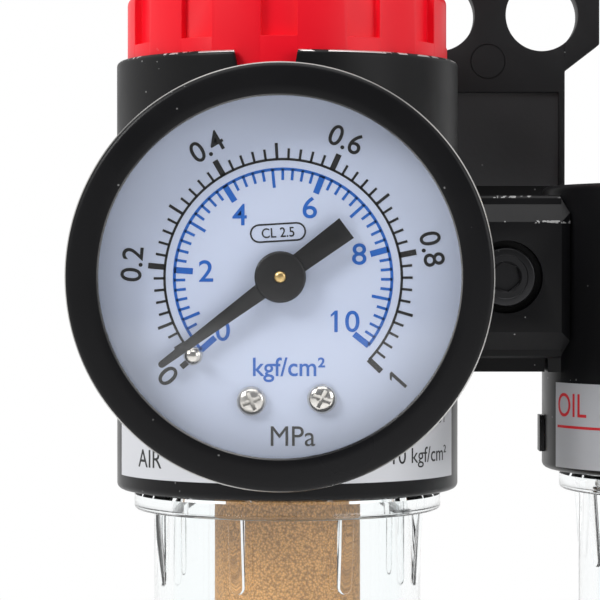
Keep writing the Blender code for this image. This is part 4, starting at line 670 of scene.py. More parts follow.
def makeSocket():
    # chamfered hex and the thread that screws the gauge into the body
    low, high = socketSet["low"], socketSet["high"]
    corner = socketSet["flat"] / math.sqrt(3)
    socket = barPiece("gaugeSocket", 6, corner * mm, low * mm, high * mm, math.radians(30))
    profile = [(0, low - 1), (corner - 0.75, low - 0.01), (corner + 0.05, low + 0.5), (corner + 0.05, high + 1), (0, high + 1)]
    combine(socket, turnPiece("chamfer", scaled(profile), 96), "INTERSECT")
    end = -(edgesOf("gauge_socket")[1].y - gaugeAt.y) / mm
    thread, groove, pitch = socketSet["thread"], socketSet["groove"], socketSet["pitch"]
    profile = [(0, end), (thread - 0.5, end), (thread - 0.05, end + 0.5)]
    level = end + 0.7
    while level + pitch < low:
        profile += [(thread, level), (thread - groove, level + 0.5), (thread - groove, level + 0.7), (thread, level + 1.2)]
        level += pitch
    profile += [(thread, low + 0.2), (0, low + 0.2)]
    fuseWith(socket, turnPiece("thread", scaled(profile), 64))
    smooth(socket, 30)
    dress(onGauge(socket), finishes["brass"], "casing", "brass", "gauge_socket")


def makeBezel():
    profile = [(20.75, -0.98), (18.2, -0.98), (18.1, -0.88), (18.1, -0.42)]
    profile += arc((18.42, -0.4), 0.32, 180, 95, 4)
    profile += [(19.2, -0.05), (20.3, -0.16)]
    profile += arc((20.8, -0.9), 0.7, 80, 0, 6)
    profile += [(21.5, -7.3), (21.58, -7.6)] + arc((21.5, -8.2), 0.4, 60, -70, 6)
    profile += [(21.4, -8.75), (20.75, -8.75)]
    bezel = turnPiece("gaugeBezel", scaled(profile), 192)
    dress(onGauge(bezel), bezelMaterial(), "casing", "black_enamel", "gauge_bezel")


def bezelMaterial():
    # crinkled black with painted highlight on the rolled outer rim and inner lip: bright metal-coloured patches broken
    # up by noise, spreading along the whole right side
    material = coatedMaterial("bezelPaintedHighlight", (0.0035, 0.0035, 0.004), (0.006, 0.006, 0.007), 0.26, 0.4, 2600, 0.4, 0.25, level=0.18)
    tree = material.node_tree
    shader = tree.nodes["Principled BSDF"]
    coords = addNode(tree, "ShaderNodeTexCoord")
    centred = addNode(tree, "ShaderNodeMapping")
    centred.inputs["Location"].default_value = (-gaugeAt.x, -gaugeAt.y, -gaugeAt.z)
    tree.links.new(coords.outputs["Object"], centred.inputs["Vector"])
    flat = addNode(tree, "ShaderNodeVectorMath", operation="MULTIPLY")
    flat.inputs[1].default_value = (1, 0, 1)
    tree.links.new(centred.outputs["Vector"], flat.inputs[0])
    reach = addNode(tree, "ShaderNodeVectorMath", operation="LENGTH")
    tree.links.new(flat.outputs["Vector"], reach.inputs[0])
    noise = addNode(tree, "ShaderNodeTexNoise")
    noise.inputs["Scale"].default_value = 60.0
    tree.links.new(coords.outputs["Object"], noise.inputs["Vector"])
    rim = mathNode(tree, "GREATER_THAN", reach.outputs["Value"], 21.36 * mm)
    lip = mathNode(tree, "LESS_THAN", reach.outputs["Value"], 18.22 * mm)
    edge = mathNode(tree, "MAXIMUM", rim, mathNode(tree, "MULTIPLY", lip, 0.25))
    spread = addNode(tree, "ShaderNodeMapRange")
    spread.inputs["From Min"].default_value = 0.42
    spread.inputs["From Max"].default_value = 0.62
    tree.links.new(noise.outputs["Fac"], spread.inputs["Value"])
    sides = addNode(tree, "ShaderNodeSeparateXYZ")
    tree.links.new(centred.outputs["Vector"], sides.inputs["Vector"])
    # painted highlight, brighter towards the right side of the rim
    right = addNode(tree, "ShaderNodeMapRange")
    right.inputs["From Min"].default_value = 8 * mm
    right.inputs["From Max"].default_value = 18 * mm
    tree.links.new(sides.outputs["X"], right.inputs["Value"])
    wearAndHighlightPatches = mathNode(tree, "MAXIMUM", spread.outputs["Result"], right.outputs["Result"])
    mask = mathNode(tree, "MULTIPLY", edge, wearAndHighlightPatches)
    base = shader.inputs["Base Color"].links[0].from_socket
    mix = addNode(tree, "ShaderNodeMix", data_type="RGBA")
    tree.links.new(mask, mix.inputs["Factor"])
    tree.links.new(base, mix.inputs[6])
    # colour of the painted highlight on the rim and lip
    mix.inputs[7].default_value = (0.6, 0.59, 0.57, 1)
    tree.links.new(mix.outputs[2], shader.inputs["Base Color"])
    tree.links.new(mask, shader.inputs["Metallic"])
    return material


def makeGaugeCase():
    outer = 20.4
    profile = [(5.15, -20.0), (18.3, -20.0)] + arc((18.4, -18.0), 2.0, -85, 0, 6)
    profile += [(outer, -12.0), (20.2, -11.6), (20.2, -10.9), (outer, -10.5), (outer, -2.65), (19.6, -2.65)]
    profile += [(19.6, -17.8)] + arc((18.4, -18.0), 1.2, 0, -85, 4) + [(5.15, -19.2)]
    case = turnPiece("gaugeCase", scaled(profile), 160)
    dress(onGauge(case), finishes["bezelBlack"], "casing", "black_enamel", "gauge_case")
    profile = [(18.3, -1.05), (19.5, -1.05), (19.5, -4.4), (18.95, -4.4), (18.6, -4.2), (18.35, -3.9)]
    profile = [(18.45, -2.75), (19.35, -2.75), (19.35, -4.42), (18.45, -4.42)]
    ring = turnPiece("dialRing", scaled(profile), 160)
    dress(onGauge(ring), finishes["bezelBlack"], "casing", "black_enamel")


def makeLens():
    profile = [(0, -2.3), (20.3, -2.3), (20.4, -2.2), (20.4, -1.2), (20.3, -1.05), (17.5, -1.0), (9.0, -0.95), (0, -0.92)]
    lens = turnPiece("gaugeLens", scaled(profile), 128)
    dress(onGauge(lens), lensMaterial(), "casing", "clear_plastic", "gauge_lens")


def lensMaterial():
    # a flat clear pane: mirrors as much as glass does at each angle and lets the rest straight through
    material, tree, shader, coords = startMaterial("lensPane")
    grain = addGroup(tree, "grain", coords, Size=250.0, Bump=0.01)
    smudge = addGroup(tree, "smudge", coords, Low=0.02, High=0.07, Dust=0.0)
    facing = addNode(tree, "ShaderNodeLayerWeight")
    facing.inputs["Blend"].default_value = 0.5
    edge = mathNode(tree, "POWER", facing.outputs["Facing"], 5.0)
    mirror = mathNode(tree, "ADD", mathNode(tree, "MULTIPLY", edge, 0.9), 0.035)
    tree.links.new(mirror, shader.inputs["Alpha"])
    tree.links.new(grain.outputs["Normal"], shader.inputs["Normal"])
    tree.links.new(smudge.outputs["Roughness"], shader.inputs["Roughness"])
    shader.inputs["Base Color"].default_value = (0.97, 0.985, 1.0, 1)
    shader.inputs["Metallic"].default_value = 1.0
    return material


def makeDial():
    plane = dialSet["plane"]
    back = plane - dialSet["thick"]
    profile = [(1.25, back), (dialSet["radius"], back), (dialSet["radius"], plane - 0.08)]
    profile += [(dialSet["radius"] - 0.08, plane), (1.3, plane), (1.25, plane - 0.05)]
    dial = turnPiece("gaugeDial", scaled(profile), 160)
    dress(onGauge(dial), finishes["dialWhite"], "casing", "dial_white", "gauge_dial")


def mpaAngle(pressure):
    return dialSet["middle"] - dialSet["sweep"] * (pressure - 0.5)


printShift = Matrix.Translation((0.26 * mm, -0.1 * mm, 0))


def inkTick(name, degrees, fromRadius, toRadius, wide):
    low = (dialSet["plane"] + 0.005) * mm
    tick = outlinePiece(name, scaled([(fromRadius, -wide / 2), (toRadius, -wide / 2), (toRadius, wide / 2), (fromRadius, wide / 2)]), low, low + dialSet["ink"] * mm)
    tick.matrix_world = Matrix.Rotation(math.radians(degrees), 4, "Z")
    bakePlace(tick)
    return tick


def inkArc(name, radius, wide, fromDegrees, toDegrees):
    low = (dialSet["plane"] + 0.005) * mm
    outer = arc((0, 0), radius + wide / 2, fromDegrees, toDegrees, 120)
    inner = arc((0, 0), radius - wide / 2, toDegrees, fromDegrees, 120)
    return outlinePiece(name, scaled(outer + inner), low, low + dialSet["ink"] * mm)


def inkWord(words, high, wide, at, turnDegrees, bold=0.008):
    low = (dialSet["plane"] + 0.005) * mm
    place = (at[0] * mm, at[1] * mm)
    return textPiece("word", words, high * mm, wide * mm, place, math.radians(turnDegrees), low, dialSet["ink"] * mm, bold)


def inkOne(high, at, turnDegrees):
    low = (dialSet["plane"] + 0.005) * mm
    half, wide = high / 2, high * 0.078
    outline = [(wide, -half), (wide, half), (-wide * 0.6, half), (-wide * 3.2, half * 0.62), (-wide * 3.2, half * 0.4)]
    outline += [(-wide, half * 0.66), (-wide, -half)]
    figure = outlinePiece("one", scaled(outline), low, low + dialSet["ink"] * mm)
    figure.matrix_world = Matrix.Translation((at[0] * mm, at[1] * mm, 0)) @ Matrix.Rotation(
        math.radians(turnDegrees), 4, "Z"
    )
    bakePlace(figure)
    return figure


def polar(radius, degrees):
    return radius * math.cos(math.radians(degrees)), radius * math.sin(math.radians(degrees))


def makeBlackScale():
    inner = dialSet["arc"] - 0.05
    pieces = [inkArc("arc", dialSet["arc"], 0.25, mpaAngle(1.0), dialSet["zeroMark"])]
    pieces.append(inkTick("tick", dialSet["zeroMark"], inner, dialSet["major"], 0.58))
    for step in range(3, 51):
        pressure = step * 0.02
        if step % 10 == 0:
            reach, wide = dialSet["major"], 0.58
        elif step % 5 == 0:
            reach, wide = dialSet["major"] - 0.05, 0.3
        else:
            reach, wide = dialSet["minor"], 0.25
        pieces.append(inkTick("tick", mpaAngle(pressure), inner, reach, wide))
    for number in (0.2, 0.4, 0.6, 0.8):
        angle = mpaAngle(number)
        pieces.append(inkWord(f"{number}", 2.15, 3.5, polar(dialSet["numbers"], angle), angle - 90))
    pieces.append(inkWord("0", 2.15, 1.5, polar(15.3, 217.0), -51.0))
    pieces.append(inkOne(2.15, polar(15.55, -44.9), 44.6))
    pieces.append(inkWord("MPa", 2.0, 4.5, (0.05, -16.05), -3.4, 0.0))
    scale = putAt(joinAll(pieces, "dialScaleBlack"), printShift)
    dress(onGauge(scale), finishes["inkBlack"], "casing", "black_enamel")


def makeBlueScale():
    outer = dialSet["blueArc"] + 0.05
    pieces = [inkArc("arc", dialSet["blueArc"], 0.3, mpaAngle(10 * dialSet["kgfToMpa"]), dialSet["zeroMark"])]
    pieces.append(inkTick("tick", dialSet["zeroMark"], dialSet["blueMajor"], outer, 0.62))
    for step in range(3, 51):
        angle = mpaAngle(step * 0.2 * dialSet["kgfToMpa"])
        if step % 10 == 0:
            reach, wide = dialSet["blueMajor"], 0.62
        elif step % 5 == 0:
            reach, wide = dialSet["blueMajor"], 0.3
        else:
            reach, wide = dialSet["blueMinor"], 0.27
        pieces.append(inkTick("tick", angle, reach, outer, wide))
    back = Matrix.Rotation(-gaugeTurn, 2)
    figures = {"0": (-6.1, -5.3), "2": (-7.8, 0.7), "4": (-4.4, 6.4), "6": (2.7, 7.1), "8": (7.7, 2.4)}
    for words, place in figures.items():
        pieces.append(inkWord(words, 2.18, 1.45, back @ Vector(place), -3.4))
    pieces.append(inkOne(2.18, back @ Vector((5.35, -4.4)), -3.4))
    pieces.append(inkWord("0", 2.18, 1.45, back @ Vector((7.0, -4.4)), -3.4))
    pieces.append(inkWord("kgf/cm²", 2.5, 7.3, back @ Vector((0.6, -9.3)), -3.4, 0.01))
    scale = putAt(joinAll(pieces, "dialScaleBlue"), printShift)
    dress(onGauge(scale), finishes["inkBlue"], "casing", "dial_white")


def makeClassMark():
    # accuracy class in a thin rounded frame
    low = (dialSet["plane"] + 0.005) * mm
    frameOuter = arc((1.9, 0), 0.95, -90, 90, 10) + arc((-1.9, 0), 0.95, 90, 270, 10)
    border = outlinePiece("classBorder", scaled(frameOuter), low, low + dialSet["ink"] * mm)
    frameInner = arc((1.9, 0), 0.78, -90, 90, 10) + arc((-1.9, 0), 0.78, 90, 270, 10)
    hole = outlinePiece("classHole", scaled(frameInner), low - 0.1 * mm, low + 0.1 * mm)
    cutWith(border, hole)
    words = inkWord("CL 2.5", 1.0, 3.3, (0, 0), 0)
    mark = joinAll([border, words], "dialClassMark")
    place = Matrix.Rotation(-gaugeTurn, 2) @ Vector((-0.25, 4.5))
    mark.matrix_world = Matrix.Translation((place.x * mm, place.y * mm, 0))
    bakePlace(mark)
    dress(onGauge(mark), finishes["inkBlack"], "casing", "black_enamel")


pointerSet = {"angle": 213.0, "tip": 15.2, "tail": 8.3, "hub": 2.6, "top": -3.0, "thick": 0.4}


def makePointer():
    top = pointerSet["top"]
    low = top - pointerSet["thick"]
    outline = [(-pointerSet["tail"], -1.24), (-1.5, -1.0), (1.5, -0.88), (pointerSet["tip"] - 0.5, -0.36)]
    outline += arc((pointerSet["tip"] - 0.4, 0), 0.36, -70, 70, 6)
    outline += [(pointerSet["tip"] - 0.5, 0.36), (1.5, 0.88), (-1.5, 1.0), (-pointerSet["tail"], 1.24)]
    pointer = outlinePiece("gaugePointer", scaled(outline), low * mm, top * mm)
    pointer.matrix_world = Matrix.Rotation(math.radians(pointerSet["angle"]), 4, "Z")
    bakePlace(pointer)
    profile = [(0.62, low - 0.2), (2.4, low - 0.2), (2.6, low)] + arc((2.3, top), 0.3, 0, 90, 4)
    profile += [(1.0, top + 0.36), (0.62, top + 0.36)]
    hub = turnPiece("hub", scaled(profile), 72)
    pointer = joinHub(pointer, hub)
    dress(onGauge(pointer), finishes["pointerBlack"], "pointer", "black_enamel", "gauge_pointer")
    profile = [(0, -11.2), (0.6, -11.2), (0.6, top + 0.3)] + arc((0, top + 0.28), 0.6, 8, 90, 5)[:-1] + [(0, top + 0.62)]
    profile = [(0, -11.2), (0.6, -11.2), (0.6, top + 0.4), (0.52, top + 0.52), (0.3, top + 0.62), (0, top + 0.66)]
    pin = turnPiece("pointerPin", scaled(profile), 48)
    dress(onGauge(pin), finishes["brass"], "pointer", "brass")


def joinHub(pointer, hub):
    fuseWith(pointer, hub)
    roundEdges(pointer, 0.06 * mm, 2)
    profile = [(0, -6), (0.6, -6), (0.6, 0), (0, 0)]
    hole = turnPiece("pinHole", scaled(profile), 48)
    cutWith(pointer, hole)
    return smooth(pointer)


dialScrewSet = {"dial_screw_left": (-3.67, -12.35, 20), "dial_screw_right": (3.46, -12.53, 62)}


def makeDialScrews():
    for node, (x, y, turn) in dialScrewSet.items():
        plane = dialSet["plane"]
        profile = [(0, plane - 1.2), (0.7, plane - 1.2), (0.7, plane + 0.04), (1.42, plane + 0.04)]
        profile += [(1.5, plane + 0.14), (1.5, plane + 0.35), (1.4, plane + 0.62), (1.1, plane + 0.88)]
        profile += [(0.6, plane + 1.03), (0, plane + 1.07)]
        screw = turnPiece("dialScrew", scaled(profile), 64)
        for quarter in (0, 90):
            slot = blockPiece("slot", (-0.95 * mm, -0.19 * mm, (plane + 0.45) * mm), (0.95 * mm, 0.19 * mm, (plane + 2) * mm))
            slot.matrix_world = Matrix.Rotation(math.radians(turn + quarter), 4, "Z")
            bakePlace(slot)
            cutWith(screw, slot)
        roundEdges(screw, 0.04 * mm, 2)
        screw.name = node.replace("_s", "S").replace("_l", "L").replace("_r", "R")
        screw.matrix_world = Matrix.Translation((x * mm, y * mm, 0))
        bakePlace(screw)
        dress(onGauge(screw), finishes["nickel"], "casing", "nickel", node)


def makeStopPin():
    plane = dialSet["plane"]
    x, y = polar(11.9, 218.6)
    profile = [(0, plane - 0.7), (0.6, plane - 0.7), (0.6, plane + 0.02), (0.9, plane + 0.02), (0.97, plane + 0.1)]
    profile += [(0.95, plane + 0.3), (0.8, plane + 0.5), (0.62, plane + 0.62), (0.6, -2.85), (0.45, -2.72), (0, -2.66)]
    pin = turnPiece("stopPin", scaled(profile), 48)
    pin.matrix_world = Matrix.Translation((x * mm, y * mm, 0))
    bakePlace(pin)
    dress(onGauge(pin), finishes["nickel"], "casing", "nickel", "stop_pin")


makeBezel()
makeGaugeCase()
makeSocket()
makeDial()
makeBlackScale()
makeBlueScale()
makeClassMark()
makePointer()
makeDialScrews()
makeStopPin()
makeLens()
print("gauge made")


# red adjusting knob

knobSet = {
    "radius": 18.75, "top": 32.6, "skirt": 18.6, "wall": 2.1, "crown": 2.2, "hub": 6.0,
    "grips": 12, "gripWide": 4.1, "gripDepth": 1.0, "gripFrom": 26.7, "gripTurn": -92.0,
}


def turnedBlock(name, low, high, degrees):
    block = blockPiece(name, [value * mm for value in low], [value * mm for value in high])
    block.matrix_world = Matrix.Rotation(math.radians(degrees), 4, "Z")
    bakePlace(block)
    return block


def makeKnob():
    outer, top, skirt = knobSet["radius"], knobSet["top"], knobSet["skirt"]
    inner = outer - knobSet["wall"]
    profile = [(0, top - 0.35), (11.5, top - 0.35)] + arc((11.5, top - 0.1), 0.25, -90, -20, 3)
    profile += [(12.0, top - 0.05), (12.3, top), (outer - 0.95, top)] + arc((outer - 0.95, top - 0.95), 0.95, 75, 0, 5)
    profile += [(outer, skirt + 0.3), (outer - 0.3, skirt), (inner, skirt), (inner, top - knobSet["crown"])]
    profile += [(knobSet["hub"], top - knobSet["crown"]), (knobSet["hub"], 25.1), (0, 25.1)]
    knob = turnPiece("adjustingKnob", scaled(profile), 180)
    for grip in range(knobSet["grips"]):
        half = knobSet["gripWide"] / 2
        degrees = knobSet["gripTurn"] + 360 * grip / knobSet["grips"]
        low = (outer - knobSet["gripDepth"], -half, knobSet["gripFrom"])
        cutWith(knob, turnedBlock("grip", low, (outer + 2, half, top + 2), degrees))
    roundEdges(knob, 0.22 * mm, 3, 30)
    socket = barPiece("socket", 6, 3.8 * mm, 24 * mm, 29.7 * mm)
    cutWith(knob, socket)
    putAt(smooth(knob, 30), Matrix.Translation(regulatorAt))
    dress(knob, finishes["knobRed"], "knob", "red_plastic", "adjusting_knob")


# black bonnet under the knob

bonnetSet = {"foot": 8.6, "base": 10.9, "top": 25.1, "rim": 19.0, "floor": 18.0, "core": 15.0, "plate": 24.8}


def makeBonnet():
    base, top = bonnetSet["base"], bonnetSet["top"]
    rim, core, plate = bonnetSet["rim"], bonnetSet["core"], bonnetSet["plate"]
    thread = 15.0 + 1.8 - 0.3
    profile = [(12.0, 8.6), (thread, 8.6), (thread, base), (19.75, base), (20.0, base + 0.25), (20.0, top - 0.9)]
    profile += arc((19.45, top - 0.55), 0.55, 0, 80, 5) + [(rim + 0.12, top), (rim, top - 0.12), (rim, 18.0)]
    profile += [(core, 18.0), (core, plate - 0.3), (core - 0.3, plate), (3.8, plate), (3.8, plate - 1.6), (12.0, plate - 1.6)]
    bonnet = turnPiece("bonnetCover", scaled(profile), 192)
    notch = outlinePiece("notch", scaled([(-3.1, 22.6), (3.1, 22.6), (3.75, 26), (-3.75, 26)]), 18.0 * mm, 21 * mm)
    notch.matrix_world = Matrix.Rotation(math.radians(-96 + 90), 4, "Z") @ alongMinusY
    bakePlace(notch)
    cutWith(bonnet, notch)
    for turn in (0, 90):
        if turn == 0:
            cutWith(bonnet, turnedBlock("keyway", (-13.0, -1.8, 12), (13.0, 1.8, plate - 1.6), turn))
    roundEdges(bonnet, 0.12 * mm, 2, 40)
    putAt(smooth(bonnet, 30), Matrix.Translation(regulatorAt))
    dress(bonnet, wornBlack(), "casing", "black_enamel", "bonnet")


def wornBlack():
    # black enamel whose upper rim is rubbed down to bright metal in small patches
    material = coatedMaterial("bonnetBlack", (0.005, 0.005, 0.0055), (0.009, 0.009, 0.01), 0.32, 0.46, 2600, 0.22, 0.3, level=0.16)
    tree = material.node_tree
    shader = tree.nodes["Principled BSDF"]
    coords = addNode(tree, "ShaderNodeTexCoord")
    wearAndGlint = addGroup(tree, "wearAndGlint", coords.outputs["Object"], Level=regulatorAt.z + 25.08 * mm, Band=0.00022, Size=900.0)
    base = shader.inputs["Base Color"].links[0].from_socket
    mix = addNode(tree, "ShaderNodeMix", data_type="RGBA")
    tree.links.new(wearAndGlint.outputs["Mask"], mix.inputs["Factor"])
    tree.links.new(base, mix.inputs[6])
    mix.inputs[7].default_value = (0.62, 0.61, 0.6, 1)
    tree.links.new(mix.outputs[2], shader.inputs["Base Color"])
    tree.links.new(wearAndGlint.outputs["Mask"], shader.inputs["Metallic"])
    return material


# black cast bodies with port pads

bodySet = {"radius": 20.0, "wall": 4.0, "edge": 0.7, "top": 10.6, "padDeep": 7.6, "padRise": 9.4, "padDrop": 10.9}
portSet = {"bore": 5.7, "thread": 0.42, "pitch": 1.337, "depth": 9.5}


def addPorts(body):
    outer = bodySet["radius"]
    for side in (-1, 1):
        near, far = sorted((side * 16.6, side * outer))
        low = (near, -bodySet["padDeep"], -bodySet["padDrop"])
        fuseWith(body, turnedBlock("pad", low, (far, bodySet["padDeep"], bodySet["padRise"]), 0))
    roundEdges(body, 0.3 * mm, 3, 40)
    for side in (-1, 1):
        bore, deep = portSet["bore"], portSet["thread"]
        profile = [(0, 0), (bore - deep, 0)]
        count = int(portSet["depth"] / portSet["pitch"])
        for turn in range(count):
            start = turn * portSet["pitch"]
            profile += [(bore - deep, start + 0.15), (bore + 0.05, start + 0.55), (bore + 0.05, start + 0.75), (bore - deep, start + 1.2)]
        profile += [(bore + 0.7, portSet["depth"] + 0.2), (bore + 0.7, portSet["depth"] + 1), (0, portSet["depth"] + 1)]
        cutter = turnPiece("port", scaled(profile), 96)
        place = Matrix.Translation((side * (outer - portSet["depth"]) * mm, 0, 0))
        cutter.matrix_world = place @ (alongX if side > 0 else alongX @ Matrix.Rotation(math.pi, 4, "X"))
        bakePlace(cutter)
        cutWith(body, cutter)


def cutBore(piece, radius, low, high, place, segments=48):
    bore = turnPiece("bore", scaled([(0, low), (radius, low), (radius, high), (0, high)]), segments)
    bore.matrix_world = place
    bakePlace(bore)
    cutWith(piece, bore)


def makeRegulatorBody():
    drop, edge, outer, top = 24.7, bodySet["edge"], bodySet["radius"], bodySet["top"]
    profile = [(4.6, -20.0), (7.5, -20.0), (7.5, -12.0), (16.0, -12.0), (16.0, -drop), (outer - edge, -drop)]
    profile += arc((outer - edge, edge - drop), edge, -75, 0, 4) + [(outer, top - 0.2), (outer - 0.2, top), (16.8, top)]
    profile += [(16.8, 7.0), (15.0, 7.0), (15.0, 6.4), (9.0, 6.4), (9.0, 2.0), (2.8, 2.0), (2.8, -3.0), (4.6, -3.0)]
    body = turnPiece("regulatorBody", scaled(profile), 192)
    addPorts(body)
    cutBore(body, 4.5, 11.0, 21.0, alongMinusY)
    cutBore(body, 4.5, 11.0, 21.0, alongY)
    putAt(smooth(body, 30), Matrix.Translation(regulatorAt))
    dress(body, finishes["castBlack"], "casing", "black_enamel", "regulator_body")


def makeLubricatorBody():
    drop, edge, outer, top = 22.4, bodySet["edge"], bodySet["radius"], bodySet["top"]
    profile = [(0, -18.0), (9.7, -18.0), (10.0, -17.7), (10.0, -10.0), (16.0, -10.0), (16.0, -drop), (outer - edge, -drop)]
    profile += arc((outer - edge, edge - drop), edge, -75, 0, 4) + arc((outer - edge, top - edge), edge, 0, 80, 4)
    profile += [(10.2, top), (9.9, top - 0.3), (9.9, 7.0), (0, 7.0)]
    body = turnPiece("lubricatorBody", scaled(profile), 192)
    lug = turnedBlock("lug", (19.0, -1.6, -20.4), (20.45, 1.6, -16.2), 180)
    fuseWith(body, lug)
    addPorts(body)
    cutBore(body, 4.0, -11.0, 11.0, alongX)
    cutBore(body, 1.2, 0, 8.0, Matrix.Identity(4), 24)
    cutBore(body, 2.2, -19.0, -12.2, Matrix.Translation((0, 6.5 * mm, 0)), 32)
    cutBore(body, 2.5, -11.0, 12.0, Matrix.Translation((0, -15 * mm, 0)), 32)
    putAt(smooth(body, 30), Matrix.Translation(oilerAt))
    dress(body, finishes["castBlack"], "casing", "black_enamel", "lubricator_body")


# foil labels round the bodies, with generic printing only

labelSet = {"turn": 71.0, "high": 9.7, "thick": 0.08, "regulatorTop": -13.1, "oilerTop": -12.1}


def bentStrip(name, at, fromDegrees, toDegrees, low, high, inner, outer, steps=60):
    points = arc((0, 0), outer, -90 + fromDegrees, -90 + toDegrees, steps)
    points += arc((0, 0), inner, -90 + toDegrees, -90 + fromDegrees, steps)
    strip = outlinePiece(name, scaled(points), low * mm, high * mm)
    putAt(smooth(strip, 30), Matrix.Translation(at))
    return strip


def bentWords(words, at, degrees, level, high, wide, outer):
    # printing wrapped round a drum of that radius, centred at that turn
    deselectAll()
    piece = textPiece("printed", words, high * mm, wide * mm, (0, 0), 0, 0, 0.02 * mm)
    for point in piece.data.vertices:
        x, y, z = point.co
        angle = math.radians(degrees - 90) + x / (outer * mm)
        reach = outer * mm + z
        point.co = (reach * math.cos(angle), reach * math.sin(angle), level * mm + y)
    return putAt(piece, Matrix.Translation(at))


def makeLabels():
    outer = bodySet["radius"] + 0.02
    face = outer + labelSet["thick"]
    half = labelSet["turn"]
    for name, at, top in (("regulatorLabel", regulatorAt, labelSet["regulatorTop"]), ("oilerLabel", oilerAt, labelSet["oilerTop"])):
        label = bentStrip(name, at, -half, half, top - labelSet["high"], top, outer, face)
        dress(label, finishes["foil"], "casing", "nickel")
    top = labelSet["regulatorTop"]
    words = [bentWords("AIR", regulatorAt, -50, top - 7.4, 2.0, 4.4, face)]
    words.append(bentWords("0-10 kgf/cm²", regulatorAt, 47.5, top - 7.2, 2.3, 12.5, face))
    words.append(bentWords("IN", regulatorAt, -60, top - 2.6, 1.8, 1.9, face))
    words.append(bentWords("OUT", regulatorAt, 60, top - 2.6, 1.8, 3.6, face))
    dress(joinAll(words, "regulatorLabelPrint"), finishes["inkBlack"], "casing", "black_enamel")
    top = labelSet["oilerTop"]
    line = bentStrip("oilerLine", oilerAt, -half + 1.5, half - 1.5, top - 5.15, top - 4.85, face, face + 0.02)
    arrow = bentWords("OIL", oilerAt, -61, top - 2.5, 2.7, 5.6, face)
    other = bentWords("MIST", oilerAt, 0, top - 2.5, 2.7, 8.0, face)
    dress(joinAll([line, arrow, other], "oilerLabelRed"), finishes["inkRed"], "casing", "red_plastic")


makeKnob()
makeBonnet()
makeRegulatorBody()
makeLubricatorBody()
makeLabels()
print("knob, bonnet, bodies and labels made")


# clamp between the two bodies, with its socket screws and the wall bracket

clampSet = {"base": 9.3, "face": 6.25, "bevel": 3.05, "reach": 11.0, "saddle": 20.3, "headBore": 4.15, "back": 6.9}


def cutBothSaddles(piece):
    for side in (-1, 1):
        radius = clampSet["saddle"]
        drum = turnPiece("saddle", scaled([(0, -16), (radius, -16), (radius, 15), (0, 15)]), 160)
        putAt(drum, Matrix.Translation((side * unitX, 0, 0)))
        cutWith(piece, drum)


def makeFrontClamp():
    base, face, bevel, reach = clampSet["base"], clampSet["face"], clampSet["bevel"], clampSet["reach"]
    deselectAll()
    bpy.ops.mesh.primitive_cube_add(size=2, location=(0, 0, 0))
    clamp = bpy.context.object
    clamp.name = "frontClamp"
    for point in clamp.data.vertices:
        front = point.co.y < 0
        half = face if front else base
        depth = -reach if front else bevel - reach
        point.co = (math.copysign(half, point.co.x) * mm, depth * mm, math.copysign(half, point.co.z) * mm)
    rise = base - 0.3
    tongue = turnedBlock("tongue", (-6.4, bevel - reach - 1, -rise), (6.4, -clampSet["back"], rise), 0)
    fuseWith(clamp, tongue)
    cutBothSaddles(clamp)
    cutBore(clamp, clampSet["headBore"], 8.1, 12.0, alongMinusY, 72)
    cutBore(clamp, 2.1, 5.0, 9.0, alongMinusY, 36)
    roundEdges(clamp, 0.22 * mm, 3, 25)
    putAt(smooth(clamp, 28), Matrix.Translation(jointAt))
    dress(clamp, edgeWearAndHighlightMaterial(), "casing", "black_enamel", "front_clamp")


def edgeWearAndHighlightMaterial():
    # cast black with bright bands along its top edges: worn paint, and painted highlight where the edges glint
    material = coatedMaterial("clampBlack", (0.004, 0.004, 0.0045), (0.008, 0.008, 0.009), 0.34, 0.5, 2400, 0.25, 0.5, level=0.16)
    tree = material.node_tree
    shader = tree.nodes["Principled BSDF"]
    coords = addNode(tree, "ShaderNodeTexCoord")
    base = shader.inputs["Base Color"].links[0].from_socket
    edgeWearAndHighlight = None
    # bright bands on the two top edge levels: worn paint and painted highlight
    for level in (clampSet["base"] - 0.1, clampSet["face"]):
        wearAndGlint = addGroup(
            tree, "wearAndGlint", coords.outputs["Object"], Level=jointAt.z + level * mm, Band=0.00016, Size=1400.0
        )
        mask = wearAndGlint.outputs["Mask"]
        edgeWearAndHighlight = mathNode(tree, "MAXIMUM", edgeWearAndHighlight, mask) if edgeWearAndHighlight else mask
    mix = addNode(tree, "ShaderNodeMix", data_type="RGBA")
    tree.links.new(edgeWearAndHighlight, mix.inputs["Factor"])
    tree.links.new(base, mix.inputs[6])
    # colour of the worn paint and painted highlight
    mix.inputs[7].default_value = (0.3, 0.3, 0.3, 1)
    tree.links.new(mix.outputs[2], shader.inputs["Base Color"])
    return material


screwSet = {"head": 3.375, "thick": 2.2, "shank": 1.8, "tip": 4.3, "hex": 3.0, "hexDeep": 1.3, "pitch": 0.7}


